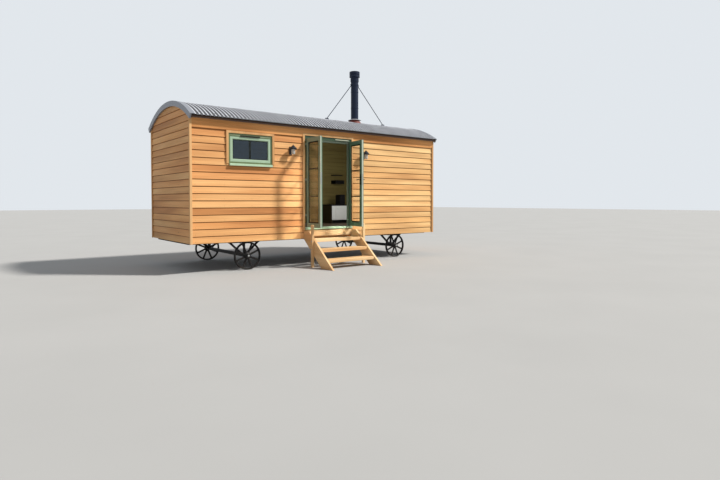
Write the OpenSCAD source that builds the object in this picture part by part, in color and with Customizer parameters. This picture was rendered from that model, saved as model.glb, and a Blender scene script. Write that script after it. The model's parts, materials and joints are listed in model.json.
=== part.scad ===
// Shepherd's hut: a boarded body with a barrel roof on a wheeled steel chassis,
// with French doors, a window, a flue and timber steps.
// X runs along the hut, the doors face -Y and Z is up from the ground.
// The origin is on the ground under the middle of the whole outline, steps included.

/* [Body] */
// Length over the cladding
body_l = 6090; // [5600:10:6900]
// Width over the cladding
body_w = 2300; // [2200:10:2450]
// Height of the cladding's bottom edge above the ground
body_z = 550; // [520:5:600]
// Height of the finished floor above the ground
floor_z = 765; // [750:5:790]
// Thickness of the floor
floor_t = 125; // [100:5:140]
// Thickness of a wall
wall_t = 110; // [90:5:140]
// Thickness of the outer boards, which run down past the floor
clad_t = 25; // [18:1:30]
// Width of a corner board on each face
corner_w = 32; // [25:1:80]
// How far the corner boards stand out from the end cladding
corner_end_t = 10; // [6:1:25]
// How far the front corner boards and the trims stand out from the cladding
trim_t = 20; // [12:1:25]
// Height of the long walls' top edge above the ground
wall_top = 2851; // [2820:1:2950]
// Height of the eaves boards right under the roof
eaves_board_h = 90; // [60:5:100]
// Height of the frieze boards under the eaves boards
frieze_h = 107; // [80:1:110]
// Thickness of the frieze boards
frieze_t = 12; // [8:1:18]

/* [Roof] */
// Radius of the roof over the crests of its sheets
roof_r = 2300; // [2150:10:2600]
// How far the sheets hang out past the front and rear cladding
eave = 115; // [80:5:160]
// How far the sheets run past the edge of the roof boards
sheet_lip = 25; // [10:5:60]
// Distance from crest to crest of the corrugated sheets
wave_pitch = 76; // [60:1:100]
// Depth of the corrugations
wave_depth = 18; // [12:1:24]
// Thickness of the sheet metal
sheet_t = 2; // [1:0.5:3]
// Thickness of the insulated roof boards
deck_t = 45; // [30:5:70]
// Depth of the verge trim, along the roof's radius
verge_d = 98; // [70:1:120]
// How far the verge trim stands out from the end cladding
verge_t = 30; // [20:1:45]
// Width of the metal lip that laps over the end corrugation
verge_lap = 60; // [30:5:100]

/* [Doors] */
// Middle of the doorway along the hut
door_x = -82; // [-300:1:300]
// Width over the door frame
door_w = 1196; // [1000:2:1300]
// Height of the top of the door frame above the ground
door_top = 2670; // [2560:5:2680]
// Width of the frame that shows beside the closed leaves
jamb_face = 17.5; // [12:0.5:30]
// Width of the stop behind the leaves
jamb_stop = 45; // [38:1:60]
// Height of the frame's head that shows over the closed leaves
head_face = 60; // [20:1:70]
// Height of the head down to the underside of its stop
head_stop = 100; // [75:1:115]
// Thickness of a door leaf
leaf_t = 45; // [38:1:54]
// Width of a leaf's upright stiles
leaf_stile = 72; // [50:1:110]
// Height of a leaf's top rail
leaf_top_rail = 72; // [50:1:110]
// Height of a leaf's bottom rail
leaf_bottom_rail = 78; // [60:1:140]
// Thickness of a double-glazed pane
pane_t = 24; // [16:1:30]
// How far the left leaf stands open
left_open = 92.5; // [60:0.5:94]
// How far the right leaf stands open
right_open = 82; // [60:0.5:94]
// Height of the threshold over the floor
sill_rise = 15; // [10:1:25]
// Depth of the threshold's nose below its top
sill_drop = 52; // [45:1:60]
// How far the threshold's nose stands out from the cladding
sill_nose = 55; // [40:1:70]
// Width of the trim boards round the doorway
door_trim = 43; // [30:1:70]

/* [Window] */
// Middle of the window along the hut
window_x = -1873; // [-2200:1:-1500]
// Width over the window frame
window_w = 904; // [700:2:1000]
// Height of the bottom of the window frame above the ground
window_z = 2025; // [1800:5:2060]
// Height over the window frame
window_h = 565; // [480:5:600]
// Width of the window frame's sides and bottom
window_face = 34; // [25:1:50]
// Height of the window frame's head, which holds the vent
window_head = 58; // [45:1:80]
// Width of the sash's bars
sash_face = 42; // [38:1:60]
// Thickness of the sash
sash_t = 45; // [38:1:54]
// Width of the trim boards round the window
window_trim = 44; // [30:1:70]
// Height of the window sill
window_sill_h = 40; // [30:1:50]
// How far the window sill stands out from the cladding
window_sill_out = 48; // [30:1:70]

/* [Chassis] */
// Height of the chassis rails
rail_h = 115; // [90:5:120]
// Width of the rails' flanges
rail_w = 60; // [50:1:75]
// Thickness of the rails' steel
rail_t = 8; // [6:1:12]
// Distance of each rail's middle from the middle of the hut
rail_y = 880; // [780:5:900]
// Distance of each axle from the middle of the hut
axle_x = 1900; // [1500:10:2300]
// Thickness of the square axle beam
axle_t = 60; // [50:1:70]
// Radius of the axle's round ends
stub_r = 25; // [20:1:30]
// Half of the spread of an axle bracket's struts under the rail
strut_spread = 290; // [200:5:320]
// Width of the bracket's bars
strut_w = 32; // [25:1:40]
// Thickness of the bracket's bars
strut_t = 40; // [30:1:50]

/* [Wheels] */
// Radius of a wheel
wheel_r = 270; // [250:1:280]
// Distance of a wheel's middle from the middle of the hut
wheel_y = 1025; // [1010:1:1040]
// Width of the tyre
tyre_w = 60; // [50:1:70]
// Thickness of the tyre
tyre_t = 11; // [8:1:16]
// Radius of the hub
hub_r = 48; // [42:1:60]
// Length of the hub
hub_l = 94; // [80:1:104]
// Number of spokes in a wheel
spokes = 8; // [6:1:12]
// Width of a spoke at the hub
spoke_w = 34; // [26:1:38]

/* [Flue] */
// Place of the flue along the hut
flue_x = 1140; // [900:10:1600]
// Place of the flue across the hut
flue_y = -450; // [-500:10:450]
// Radius of the insulated flue pipe
flue_r = 87.5; // [75:0.5:100]
// Radius of the flue's bore
flue_bore_r = 62.5; // [50:0.5:70]
// Height of the flue's top above the roof beside it, cowl included
flue_h = 1175; // [900:5:1400]
// How far the pipe hangs below the ceiling
flue_inside = 240; // [100:10:400]
// Radius of the cowl
cowl_r = 121; // [105:1:135]
// Height of the cowl
cowl_h = 145; // [120:1:180]
// Distance from the flue's top down to the middle of the stay band
band_drop = 310; // [240:5:400]
// Distance of the left stay's foot from the flue, along the hut
stay_left_x = 790; // [500:10:1000]
// Distance of the right stay's foot from the flue, along the hut
stay_right_x = 870; // [500:10:1000]
// Radius of a stay rod
stay_r = 8; // [4:0.5:10]

/* [Lamps] */
// Distance of each wall lamp from the middle of the doorway
lamp_x = 925; // [800:5:1100]
// Height of a lamp's brim above the ground
lamp_z = 2365; // [2200:5:2420]
// Distance of a lamp's middle from the cladding
lamp_out = 110; // [100:1:140]
// Radius of a lamp's brim
lamp_r = 80; // [70:1:95]

/* [Steps] */
// Depth of the stringers' level top beside the hut
landing_d = 183; // [120:1:400]
// Height of the lowest tread
first_rise = 180; // [160:5:200]
// Height from tread to tread
step_rise = 190; // [180:1:195]
// Distance from nosing to nosing
step_going = 229; // [215:1:250]
// Depth of a tread
tread_d = 245; // [200:5:260]
// Thickness of a tread
tread_t = 60; // [40:1:70]
// Clear width between the stringers
tread_l = 1150; // [1000:5:1200]
// Width of a stringer board, square to its slope
stringer_w = 250; // [220:5:260]
// Thickness of a stringer board
stringer_t = 45; // [38:1:50]
// Height of the board that hangs the steps on the hut
header_h = 120; // [90:5:130]
// Size of the square posts
post_t = 50; // [40:1:90]
// Height of the posts
post_h = 848; // [800:1:880]
// Distance of the posts' middle from the middle of the hut
post_y = 1520; // [1450:5:1600]

/* [Inside] */
// Left side of the low cupboard along the hut
cupboard_x = 1100; // [1000:2:1400]
// Width of the low cupboard
cupboard_w = 660; // [400:10:900]
// Depth of the low cupboard
cupboard_d = 600; // [400:10:650]
// Height of the low cupboard over the floor
cupboard_h = 475; // [400:5:900]
// Distance of the box on the cupboard from the cupboard's left side
worktop_box_x = 160; // [0:10:300]
// Distance of the box from the cupboard's front
worktop_box_y = 20; // [0:5:100]
// Width of the box on the cupboard
worktop_box_w = 260; // [150:5:400]
// Depth of the box on the cupboard
worktop_box_d = 200; // [100:5:350]
// Height of the box on the cupboard
worktop_box_h = 250; // [100:5:350]
// Left end of the shelf along the hut
shelf_x = 1360; // [1100:10:1600]
// Height of the shelf's underside over the floor
shelf_h = 1015; // [920:5:1300]
// Depth of the shelf
shelf_d = 220; // [150:5:350]
// Thickness of the shelf
shelf_t = 90; // [30:1:120]

/* [Hidden] */
$fn = 96;

// Gap left where a curved or fitted face meets its seat
seat = 0.3;
// Gap round a moving leaf
door_gap = 6;
// Gap over the threshold
threshold_gap = 8;
// Running clearance of a pin in its bore
run = 0.05;
// Length by which a cutter passes a face
cut = 5;

half_l = body_l / 2;
half_w = body_w / 2;
inner_w = half_w - wall_t;
inner_l = half_l - wall_t;
skin_w = half_w - clad_t;
skin_l = half_l - clad_t;
floor_bottom = floor_z - floor_t;

deck_ro = roof_r - wave_depth - sheet_t - seat;
deck_ri = deck_ro - deck_t;
roof_cz = wall_top - sqrt(pow(deck_ri - seat, 2) - half_w * half_w);
ridge_z = roof_cz + roof_r;
eave_w = half_w + eave;
roof_angle = 2 * asin(eave_w / roof_r);
waves = round(body_l / wave_pitch);
wave_steps = 6;

// Thickness of the verge trims' metal lip
lip_t = 3;
step_slope = atan(step_rise / step_going);
step_half = tread_l / 2;
treads = 3;
header_drop = 13;
header_top = floor_z + sill_rise - sill_drop - header_drop;
header_t = 45;
step_reach = half_w + landing_d + header_top / tan(step_slope);
// Shifts the hut so that the origin lies midway between the steps' foot and the rear eave
hut_y = round((step_reach - eave_w * (roof_r + seat + lip_t) / roof_r) / 2);

door_x0 = door_x - door_w / 2;
door_x1 = door_x + door_w / 2;
sill_top = floor_z + sill_rise;
sill_bottom = sill_top - sill_drop;
leaf_z0 = sill_top + threshold_gap;
leaf_z1 = door_top - head_face - door_gap;
leaf_w = (door_w - 2 * jamb_face - 3 * door_gap) / 2;
leaf_h = leaf_z1 - leaf_z0;

// Hinges: a pin in front of the gap beside the leaf, so that the leaf swings out flat
hinge_out = 8;
hinge_side = door_gap / 2;
barrel_r = 7;
pin_r = 4;
barrel_h = 45;
flap_t = 2.5;
hinge_zs = [leaf_z0 + 180, leaf_z0 + leaf_h / 2, leaf_z1 - 180];
axis_y = -half_w - hinge_out;
left_axis_x = door_x0 + jamb_face + hinge_side;
right_axis_x = door_x1 - jamb_face - hinge_side;

window_x0 = window_x - window_w / 2;
window_z1 = window_z + window_h;
window_proud = 5;
window_depth = 72;
sash_w = window_w - 2 * window_face - 2 * seat;
sash_h = window_h - window_face - window_head - 2 * seat;
sash_z = window_z + window_face + seat;
window_stop = 12;

rail_z0 = floor_bottom - rail_h;
rail_l = body_l - 90;
axle_z = wheel_r;
hub_gap = 5;
shoulder_r = 40;
shoulder_t = 14;
washer_t = 12;
plate_t = 12;

// Height of the walls' top, just under the roof boards, at a distance from the ridge
function under_roof(y) = roof_cz + sqrt(pow(deck_ri - seat, 2) - y * y);
// Height of the crests' surface at a distance from the ridge
function on_roof(y) = roof_cz + sqrt(roof_r * roof_r - y * y);
// Front edge of the stringers at a height, measured from the middle of the hut
function nosing_y(z) = -(step_reach - z / tan(step_slope));

module place() {
    translate([0, hut_y, 0])
        children();
}

// Extrudes an outline of the Y-Z plane along X, from x0 to x1
module along_x(x0, x1) {
    translate([x0, 0, 0])
        rotate([90, 0, 90])
            linear_extrude(height = x1 - x0)
                children();
}

// Extrudes an outline of the X-Z plane along Y, from y0 to y1
module along_y(y0, y1) {
    translate([0, y1, 0])
        rotate([90, 0, 0])
            linear_extrude(height = y1 - y0)
                children();
}

module box(x, y, z) {
    translate([x[0], y[0], z[0]])
        cube([x[1] - x[0], y[1] - y[0], z[1] - z[0]]);
}

// A profile of radius and place along the hut, swept over the roof's arc
module over_roof(angle) {
    translate([0, 0, roof_cz])
        rotate([0, -90, 0])
            rotate([0, 0, -angle / 2])
                rotate_extrude(angle = angle)
                    children();
}

// A long cylinder about the roof's axis
module roof_cylinder(r) {
    translate([0, 0, roof_cz])
        rotate([0, 90, 0])
            cylinder(r = r, h = 2 * body_l, center = true, $fn = 720);
}

// A round solid standing at a place in the hut's plan
module turned(x, y) {
    translate([x, y, 0])
        rotate_extrude()
            children();
}

// Chassis

module channel_outline() {
    difference() {
        translate([-rail_w / 2, 0])
            square([rail_w, rail_h]);
        translate([-rail_w / 2 - cut, rail_t])
            square([rail_w - rail_t + cut, rail_h - 2 * rail_t]);
    }
}

module chassis_rails() {
    color("dimgray")
        place()
            for (side = [0, 1])
                mirror([0, side, 0])
                    translate([0, -rail_y, rail_z0])
                        along_x(-rail_l / 2, rail_l / 2)
                            mirror([1, 0])
                                channel_outline();
}

module chassis_cross_members() {
    cross_count = 5;
    reach = rail_y - rail_w / 2;
    color("dimgray")
        place()
            for (i = [0:cross_count - 1])
                translate([-rail_l / 2 + rail_w / 2 + i * (rail_l - rail_w) / (cross_count - 1), 0, rail_z0])
                    along_y(-reach, reach)
                        channel_outline();
}

module axle(x) {
    beam = wheel_y - hub_l / 2 - hub_gap - shoulder_t;
    hub_out = wheel_y + hub_l / 2;
    translate([x, 0, axle_z]) {
        cube([axle_t, 2 * beam, axle_t], center = true);
        for (side = [0, 1])
            mirror([0, side, 0])
                rotate([90, 0, 0]) {
                    cylinder(r = stub_r, h = hub_out + hub_gap + washer_t);
                    translate([0, 0, beam - 1])
                        cylinder(r = shoulder_r, h = shoulder_t + 1);
                    translate([0, 0, hub_out + hub_gap])
                        cylinder(r = hub_r - 8, h = washer_t);
                }
    }
}

module left_axle() {
    color("#2b2b2d")
        place()
            axle(-axle_x);
}

module right_axle() {
    color("#2b2b2d")
        place()
            axle(axle_x);
}

// Flat bar between two points of an outline
module bar(a, b, w) {
    d = b - a;
    translate(a)
        rotate(atan2(d[1], d[0]))
            translate([0, -w / 2])
                square([norm(d), w]);
}

module bracket_outline() {
    low = axle_z + axle_t / 2;
    high = rail_z0 - plate_t / 2;
    saddle = axle_t / 2 + 12;
    difference() {
        union() {
            translate([-strut_w / 2, low])
                square([strut_w, high - low]);
            for (side = [-1, 1])
                bar([side * strut_w / 2, low - strut_w], [side * strut_spread, high], strut_w);
            translate([-strut_spread - strut_w, rail_z0 - plate_t])
                square([2 * (strut_spread + strut_w), plate_t]);
            translate([-saddle, low - axle_t / 2])
                square([2 * saddle, axle_t / 2 + plate_t]);
        }
        translate([-axle_t / 2, low - axle_t])
            square([axle_t, axle_t]);
        translate([-2 * strut_spread, rail_z0])
            square([4 * strut_spread, rail_h]);
    }
}

module axle_brackets() {
    color("#2b2b2d")
        place()
            for (x = [-axle_x, axle_x], y = [-rail_y, rail_y])
                translate([x, y, 0])
                    along_y(-strut_t / 2, strut_t / 2)
                        bracket_outline();
}

// Body

module floor_deck() {
    color("burlywood")
        place()
            box([-skin_l, skin_l], [-skin_w, skin_w], [floor_bottom, floor_z]);
}

// Section of a long wall: outer boards down past the floor, inner part standing on it
module long_wall_outline() {
    polygon([
        [-half_w, body_z], [-skin_w, body_z], [-skin_w, floor_z], [-inner_w, floor_z],
        [-inner_w, under_roof(inner_w)], [-half_w, under_roof(half_w)]
    ]);
}

module front_wall_left() {
    color("sandybrown")
        place()
            difference() {
                along_x(-half_l, door_x0)
                    long_wall_outline();
                box([window_x0, window_x0 + window_w], [-half_w - cut, -inner_w + cut], [window_z, window_z1]);
            }
}

module front_wall_right() {
    color("sandybrown")
        place()
            along_x(door_x1, half_l)
                long_wall_outline();
}

module front_wall_over_door() {
    color("sandybrown")
        place()
            difference() {
                along_x(door_x0, door_x1)
                    long_wall_outline();
                box([door_x0 - cut, door_x1 + cut], [-half_w - cut, 0], [0, door_top]);
            }
}

module front_wall_under_door() {
    color("sandybrown")
        place()
            box([door_x0, door_x1], [-half_w, -skin_w], [body_z, floor_z]);
}

module rear_wall() {
    color("sandybrown")
        place()
            mirror([0, 1, 0])
                along_x(-half_l, half_l)
                    long_wall_outline();
}

// Arched wall between the long walls, with boards down past the floor
module end_wall() {
    along_x(inner_l, half_l)
        intersection() {
            translate([-inner_w, floor_z])
                square([2 * inner_w, ridge_z]);
            translate([0, roof_cz])
                circle(r = deck_ri - seat);
        }
    box([skin_l, half_l], [-skin_w, skin_w], [body_z, floor_z]);
}

module left_end_wall() {
    color("peru")
        place()
            mirror([1, 0, 0])
                end_wall();
}

module right_end_wall() {
    color("peru")
        place()
            end_wall();
}

eaves_top = under_roof(half_w + trim_t);
// Height of the verge trims' underside over the corner boards
verge_foot = roof_cz + sqrt(pow(roof_r - verge_d, 2) - pow(half_w + trim_t, 2)) - seat;
module corner_boards() {
    color("sandybrown")
        place()
            for (a = [0, 1], b = [0, 1])
                mirror([a, 0, 0])
                    mirror([0, b, 0])
                        difference() {
                            box([half_l - corner_w, half_l + corner_end_t], [-half_w - trim_t, -half_w + corner_w],
                                [body_z, eaves_top]);
                            box([half_l - corner_w - cut, half_l], [-half_w, 0], [body_z - cut, eaves_top + cut]);
                            box([half_l, half_l + 2 * trim_t], [-2 * half_w, 0], [verge_foot, eaves_top + cut]);
                        }
}

// Section of an eaves board with the thinner frieze board under it
module eaves_outline() {
    middle = eaves_top - eaves_board_h;
    polygon([
        [-half_w, eaves_top], [-half_w - trim_t, eaves_top], [-half_w - trim_t, middle],
        [-half_w - frieze_t, middle], [-half_w - frieze_t, middle - frieze_h], [-half_w, middle - frieze_h]
    ]);
}

// The room that the frieze boards leave for the trims of the doorway and the window
module opening_surrounds() {
    box([door_x0 - door_trim, door_x1 + door_trim], [-half_w - cut, -half_w + cut] - [trim_t, 0],
        [0, door_top + door_trim]);
    box([window_x0 - window_trim, window_x0 + window_w + window_trim], [-half_w - cut, -half_w + cut] - [trim_t, 0],
        [0, window_z1 + window_trim]);
}

module eaves_boards() {
    color("chocolate")
        place()
            for (b = [0, 1])
                mirror([0, b, 0])
                    difference() {
                        along_x(-half_l + corner_w, half_l - corner_w)
                            eaves_outline();
                        if (b == 0)
                            opening_surrounds();
                    }
}

// Roof

module roof_deck() {
    color("wheat")
        place()
            difference() {
                along_x(-half_l, half_l)
                    intersection() {
                        translate([0, roof_cz])
                            difference() {
                                circle(r = deck_ro);
                                circle(r = deck_ri);
                            }
                        translate([-eave_w + sheet_lip, 0])
                            square([2 * (eave_w - sheet_lip), 2 * ridge_z]);
                    }
                translate([flue_x, flue_y, roof_cz])
                    cylinder(r = flue_r + 2 * seat, h = 2 * roof_r);
            }
}

// Outline of the corrugated sheet: radius against place along the hut
module corrugation() {
    n = waves * wave_steps;
    crest = [for (i = [0:n])
        [roof_r - wave_depth / 2 + wave_depth / 2 * cos(360 * i / wave_steps), -half_l + i * body_l / n]];
    polygon(concat(crest, [for (i = [n:-1:0]) crest[i] - [sheet_t, 0]]));
}

module roof_sheets() {
    color("slategray")
        place()
            difference() {
                over_roof(roof_angle)
                    corrugation();
                translate([flue_x, flue_y, roof_cz])
                    cylinder(r = flue_r + 15, h = 2 * roof_r);
            }
}

// Barge board at a roof end with a metal lip over the last corrugation
module verge_trim() {
    over_roof(roof_angle)
        polygon([
            [roof_r - verge_d, half_l], [roof_r - verge_d, half_l + verge_t],
            [roof_r + seat + lip_t, half_l + verge_t], [roof_r + seat + lip_t, half_l - verge_lap],
            [roof_r + seat, half_l - verge_lap], [roof_r + seat, half_l]
        ]);
}

module left_verge_trim() {
    color("slategray")
        place()
            verge_trim();
}

module right_verge_trim() {
    color("slategray")
        place()
            mirror([1, 0, 0])
                verge_trim();
}

// Window

module window_surround() {
    color("sandybrown")
        place()
            difference() {
                box([window_x0 - window_trim, window_x0 + window_w + window_trim],
                    [-half_w - trim_t, -half_w], [window_z, window_z1 + window_trim]);
                box([window_x0, window_x0 + window_w], [-half_w - 2 * trim_t, 0], [0, window_z1]);
            }
}

module window_frame() {
    front = -half_w - window_proud;
    color("darkseagreen")
        place()
            difference() {
                union() {
                    box([window_x0, window_x0 + window_w], [front, front + window_depth], [window_z, window_z1]);
                    box([window_x0 - window_trim, window_x0 + window_w + window_trim],
                        [-half_w - window_sill_out, -half_w], [window_z - window_sill_h, window_z]);
                    box([window_x0, window_x0 + window_w],
                        [-half_w - window_sill_out, -half_w], [window_z - 1, window_z + 6]);
                }
                translate([0, front, 0])
                    box([window_x0 + window_face, window_x0 + window_w - window_face],
                        [-window_sill_out, window_proud + sash_t + seat],
                        [window_z + window_face, window_z1 - window_head]);
                box([window_x0 + window_face + window_stop, window_x0 + window_w - window_face - window_stop],
                    [-half_w, 0],
                    [window_z + window_face + window_stop, window_z1 - window_head - window_stop]);
            }
}

module window_sash() {
    color("#a8c8a8")
        place()
            difference() {
                box([window_x - sash_w / 2, window_x + sash_w / 2], [-half_w, -half_w + sash_t],
                    [sash_z, sash_z + sash_h]);
                box([window_x - sash_w / 2 + sash_face, window_x + sash_w / 2 - sash_face],
                    [-half_w - cut, 0], [sash_z + sash_face, sash_z + sash_h - sash_face]);
            }
}

module window_pane() {
    y = -half_w + sash_t / 2;
    color("#30383f", 0.6)
        place()
            box([window_x - sash_w / 2 + sash_face, window_x + sash_w / 2 - sash_face],
                [y - pane_t / 2, y + pane_t / 2], [sash_z + sash_face, sash_z + sash_h - sash_face]);
}

// Doorway

module door_surround() {
    color("sandybrown")
        place()
            difference() {
                box([door_x0 - door_trim, door_x1 + door_trim], [-half_w - trim_t, -half_w],
                    [sill_bottom, door_top + door_trim]);
                box([door_x0, door_x1], [-half_w - 2 * trim_t, 0], [0, door_top]);
            }
}

// Fixed half of a hinge: barrel, flap on the frame, and the pin for the leaf's barrel
module fixed_hinge(x, side) {
    for (z = hinge_zs)
        translate([x, axis_y, z]) {
            cylinder(r = barrel_r, h = barrel_h);
            cylinder(r = pin_r, h = 2 * barrel_h);
            mirror([side, 0, 0])
                box([-hinge_side - jamb_face, 0], [hinge_out - flap_t, hinge_out + 0.5], [0, barrel_h]);
        }
}

module door_frame() {
    color("#5f7d66")
        place() {
            difference() {
                box([door_x0, door_x1], [-half_w, -inner_w], [sill_top, door_top]);
                box([door_x0 + jamb_face, door_x1 - jamb_face], [-half_w - cut, -half_w + leaf_t + door_gap],
                    [sill_top - cut, door_top - head_face]);
                box([door_x0 + jamb_stop, door_x1 - jamb_stop], [-half_w - cut, 0],
                    [sill_top - cut, door_top - head_stop]);
            }
            fixed_hinge(left_axis_x, 0);
            fixed_hinge(right_axis_x, 1);
        }
}

module door_sill() {
    nose = half_w + sill_nose;
    color("#a8c8a8")
        place()
            along_x(door_x0, door_x1)
                polygon([
                    [-inner_w, floor_z], [-inner_w, sill_top], [-half_w, sill_top], [-nose, sill_top - 12],
                    [-nose, sill_bottom + 14], [-nose + 10, sill_bottom + 8], [-half_w - 8, sill_bottom],
                    [-half_w, sill_bottom], [-half_w, floor_z]
                ]);
}

// A closed left leaf about its hinge line: frame, and the moving halves of its hinges
module leaf_frame() {
    front = hinge_out;
    difference() {
        union() {
            difference() {
                box([hinge_side, hinge_side + leaf_w], [front, front + leaf_t], [leaf_z0, leaf_z1]);
                box([hinge_side + leaf_stile, hinge_side + leaf_w - leaf_stile], [front - cut, front + leaf_t + cut],
                    [leaf_z0 + leaf_bottom_rail, leaf_z1 - leaf_top_rail]);
            }
            for (z = hinge_zs)
                translate([0, 0, z + barrel_h + 1]) {
                    cylinder(r = barrel_r, h = barrel_h);
                    box([0, hinge_side + 30], [front - flap_t, front], [0, barrel_h]);
                }
        }
        for (z = hinge_zs)
            translate([0, 0, z + barrel_h - cut])
                cylinder(r = pin_r + run, h = barrel_h + 2 * cut);
    }
}

module leaf_pane() {
    y = hinge_out + leaf_t / 2;
    box([hinge_side + leaf_stile, hinge_side + leaf_w - leaf_stile], [y - pane_t / 2, y + pane_t / 2],
        [leaf_z0 + leaf_bottom_rail, leaf_z1 - leaf_top_rail]);
}

module at_left_hinge() {
    place()
        translate([left_axis_x, axis_y, 0])
            rotate([0, 0, -left_open])
                children();
}

module at_right_hinge() {
    place()
        translate([right_axis_x, axis_y, 0])
            rotate([0, 0, right_open])
                mirror([1, 0, 0])
                    children();
}

module left_door_leaf() {
    color("#5f7d66")
        at_left_hinge()
            leaf_frame();
}

module left_door_pane() {
    color("#c8d4cc", 0.35)
        at_left_hinge()
            leaf_pane();
}

module right_door_leaf() {
    color("#5f7d66")
        at_right_hinge()
            leaf_frame();
}

module right_door_pane() {
    color("#c8d4cc", 0.35)
        at_right_hinge()
            leaf_pane();
}

// Lamps

module wall_lamp() {
    jar_r = 42;
    jar_h = 98;
    translate([0, -half_w, 0]) {
        box([-30, 30], [-12, 0], [lamp_z - 115, lamp_z + 50]);
        translate([0, 0, lamp_z + 20])
            rotate([90, 0, 0])
                cylinder(r = 11, h = lamp_out);
        turned(0, -lamp_out)
            polygon([
                [0, lamp_z + 82], [12, lamp_z + 78], [14, lamp_z + 60], [34, lamp_z + 50], [60, lamp_z + 26],
                [lamp_r, lamp_z + 4], [lamp_r, lamp_z], [jar_r, lamp_z], [jar_r, lamp_z - jar_h + 26],
                [jar_r - 14, lamp_z - jar_h + 6], [0, lamp_z - jar_h]
            ]);
    }
}

module wall_lamps() {
    color("#26282a")
        place()
            for (side = [-1, 1])
                translate([door_x + side * lamp_x, 0, 0])
                    wall_lamp();
}

// Flue

flue_roof_z = on_roof(flue_y);
flue_z = flue_roof_z + flue_h;
band_z = flue_z - band_drop;
pipe_bottom = under_roof(flue_y) - flue_inside;
pipe_top = flue_z - cowl_h;
collar_r = 152;
band_r = flue_r + 6;
band_h = 36;
lug_r = flue_r + 34;

module flue_pipe() {
    color("#22262b")
        place() {
            difference() {
                union() {
                    translate([flue_x, flue_y, pipe_bottom])
                        cylinder(r = flue_r, h = pipe_top - pipe_bottom);
                    translate([flue_x, flue_y, band_z - band_h / 2])
                        cylinder(r = band_r, h = band_h);
                    translate([flue_x, flue_y, band_z])
                        cube([2 * lug_r, 12, band_h], center = true);
                }
                translate([flue_x, flue_y, pipe_bottom - cut])
                    cylinder(r = flue_bore_r, h = pipe_top - pipe_bottom + 2 * cut);
            }
        }
}

// Cap with a groove round it, on a sleeve with two beads
module flue_cowl() {
    neck = flue_r + 8;
    bead = 4;
    groove = 10;
    color("#22262b")
        place()
            turned(flue_x, flue_y)
                polygon([
                    [0, pipe_top + seat], [flue_r + seat, pipe_top + seat], [flue_r + seat, pipe_top - 78],
                    [neck + bead, pipe_top - 78], [neck + bead, pipe_top - 62], [neck, pipe_top - 58],
                    [neck, pipe_top - 46], [neck + bead, pipe_top - 42], [neck + bead, pipe_top - 28],
                    [neck, pipe_top - 24], [neck, pipe_top + 4], [cowl_r, pipe_top + 16],
                    [cowl_r, pipe_top + 66], [cowl_r - groove, pipe_top + 70], [cowl_r - groove, pipe_top + 78],
                    [cowl_r, pipe_top + 82], [cowl_r, flue_z - bead], [cowl_r - bead, flue_z], [0, flue_z]
                ]);
}

// Boot that rises from the roof round the pipe, with a flared storm collar over it
module flue_flashing() {
    foot = flue_roof_z - 80;
    skirt_r = flue_r + 62;
    color("#5a2a26")
        place()
            difference() {
                turned(flue_x, flue_y)
                    polygon([
                        [flue_r + seat, foot], [flue_r + seat, flue_roof_z + 64], [flue_r + 5, flue_roof_z + 64],
                        [collar_r, flue_roof_z + 42], [collar_r, flue_roof_z + 37], [flue_r + 16, flue_roof_z + 50],
                        [flue_r + 16, flue_roof_z + 28], [skirt_r, flue_roof_z + 8], [skirt_r, foot]
                    ]);
                roof_cylinder(roof_r + seat);
            }
}

// A rod from the band's lug down to a foot on the roof, and the foot
module flue_stay(side) {
    foot_h = 20;
    reach = side < 0 ? stay_left_x : stay_right_x;
    foot = [flue_x + side * reach, flue_y, flue_roof_z + foot_h - stay_r];
    lug = [flue_x + side * (lug_r - 2 * stay_r), flue_y, band_z - band_h / 2 - seat];
    lean = atan2(abs(foot[0] - lug[0]), lug[2] - foot[2]);
    top = lug - [0, 0, stay_r * sin(lean)];
    d = foot - top;
    translate(top)
        rotate([0, atan2(abs(d[0]), d[2]) * side, 0])
            cylinder(r = stay_r, h = norm(d));
    intersection() {
        difference() {
            roof_cylinder(roof_r + foot_h);
            roof_cylinder(roof_r + seat);
        }
        translate(foot)
            cube([70, 40, 120], center = true);
    }
}

module flue_stays() {
    color("#22262b")
        place()
            for (side = [-1, 1])
                flue_stay(side);
}

// Steps

module stringer_outline() {
    slant = stringer_w / sin(step_slope);
    polygon([
        [-step_reach, 0], [nosing_y(header_top), header_top], [-half_w, header_top],
        [-half_w, (step_reach - slant - half_w) * tan(step_slope)], [-step_reach + slant, 0]
    ]);
}

module left_stringer() {
    color("#d9b98c")
        place()
            along_x(door_x - step_half - stringer_t, door_x - step_half)
                stringer_outline();
}

module right_stringer() {
    color("#d9b98c")
        place()
            along_x(door_x + step_half, door_x + step_half + stringer_t)
                stringer_outline();
}

module step_treads() {
    color("#e2c79b")
        place() {
            for (i = [0:treads - 1]) {
                z = first_rise + i * step_rise;
                box([door_x - step_half, door_x + step_half], [nosing_y(z), nosing_y(z) + tread_d], [z - tread_t, z]);
            }
            box([door_x - step_half, door_x + step_half], [-half_w - header_t, -half_w],
                [header_top - header_h, header_top]);
        }
}

module step_posts() {
    gap = step_half + stringer_t;
    color("#e2c79b")
        place()
            for (side = [0, 1])
                translate([door_x, 0, 0])
                    mirror([side, 0, 0])
                        box([gap, gap + post_t], [-post_y - post_t / 2, -post_y + post_t / 2], [0, post_h]);
}

// Inside, as seen through the doorway

// Low cupboard with a box on the front of its top
module interior_cupboard() {
    front = inner_w - cupboard_d;
    top = floor_z + cupboard_h;
    box_x = cupboard_x + worktop_box_x;
    box_y = front + worktop_box_y;
    color("gainsboro")
        place() {
            box([cupboard_x, cupboard_x + cupboard_w], [front, inner_w], [floor_z, top]);
            box([box_x, box_x + worktop_box_w], [box_y, box_y + worktop_box_d], [top - 1, top + worktop_box_h]);
        }
}

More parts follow.
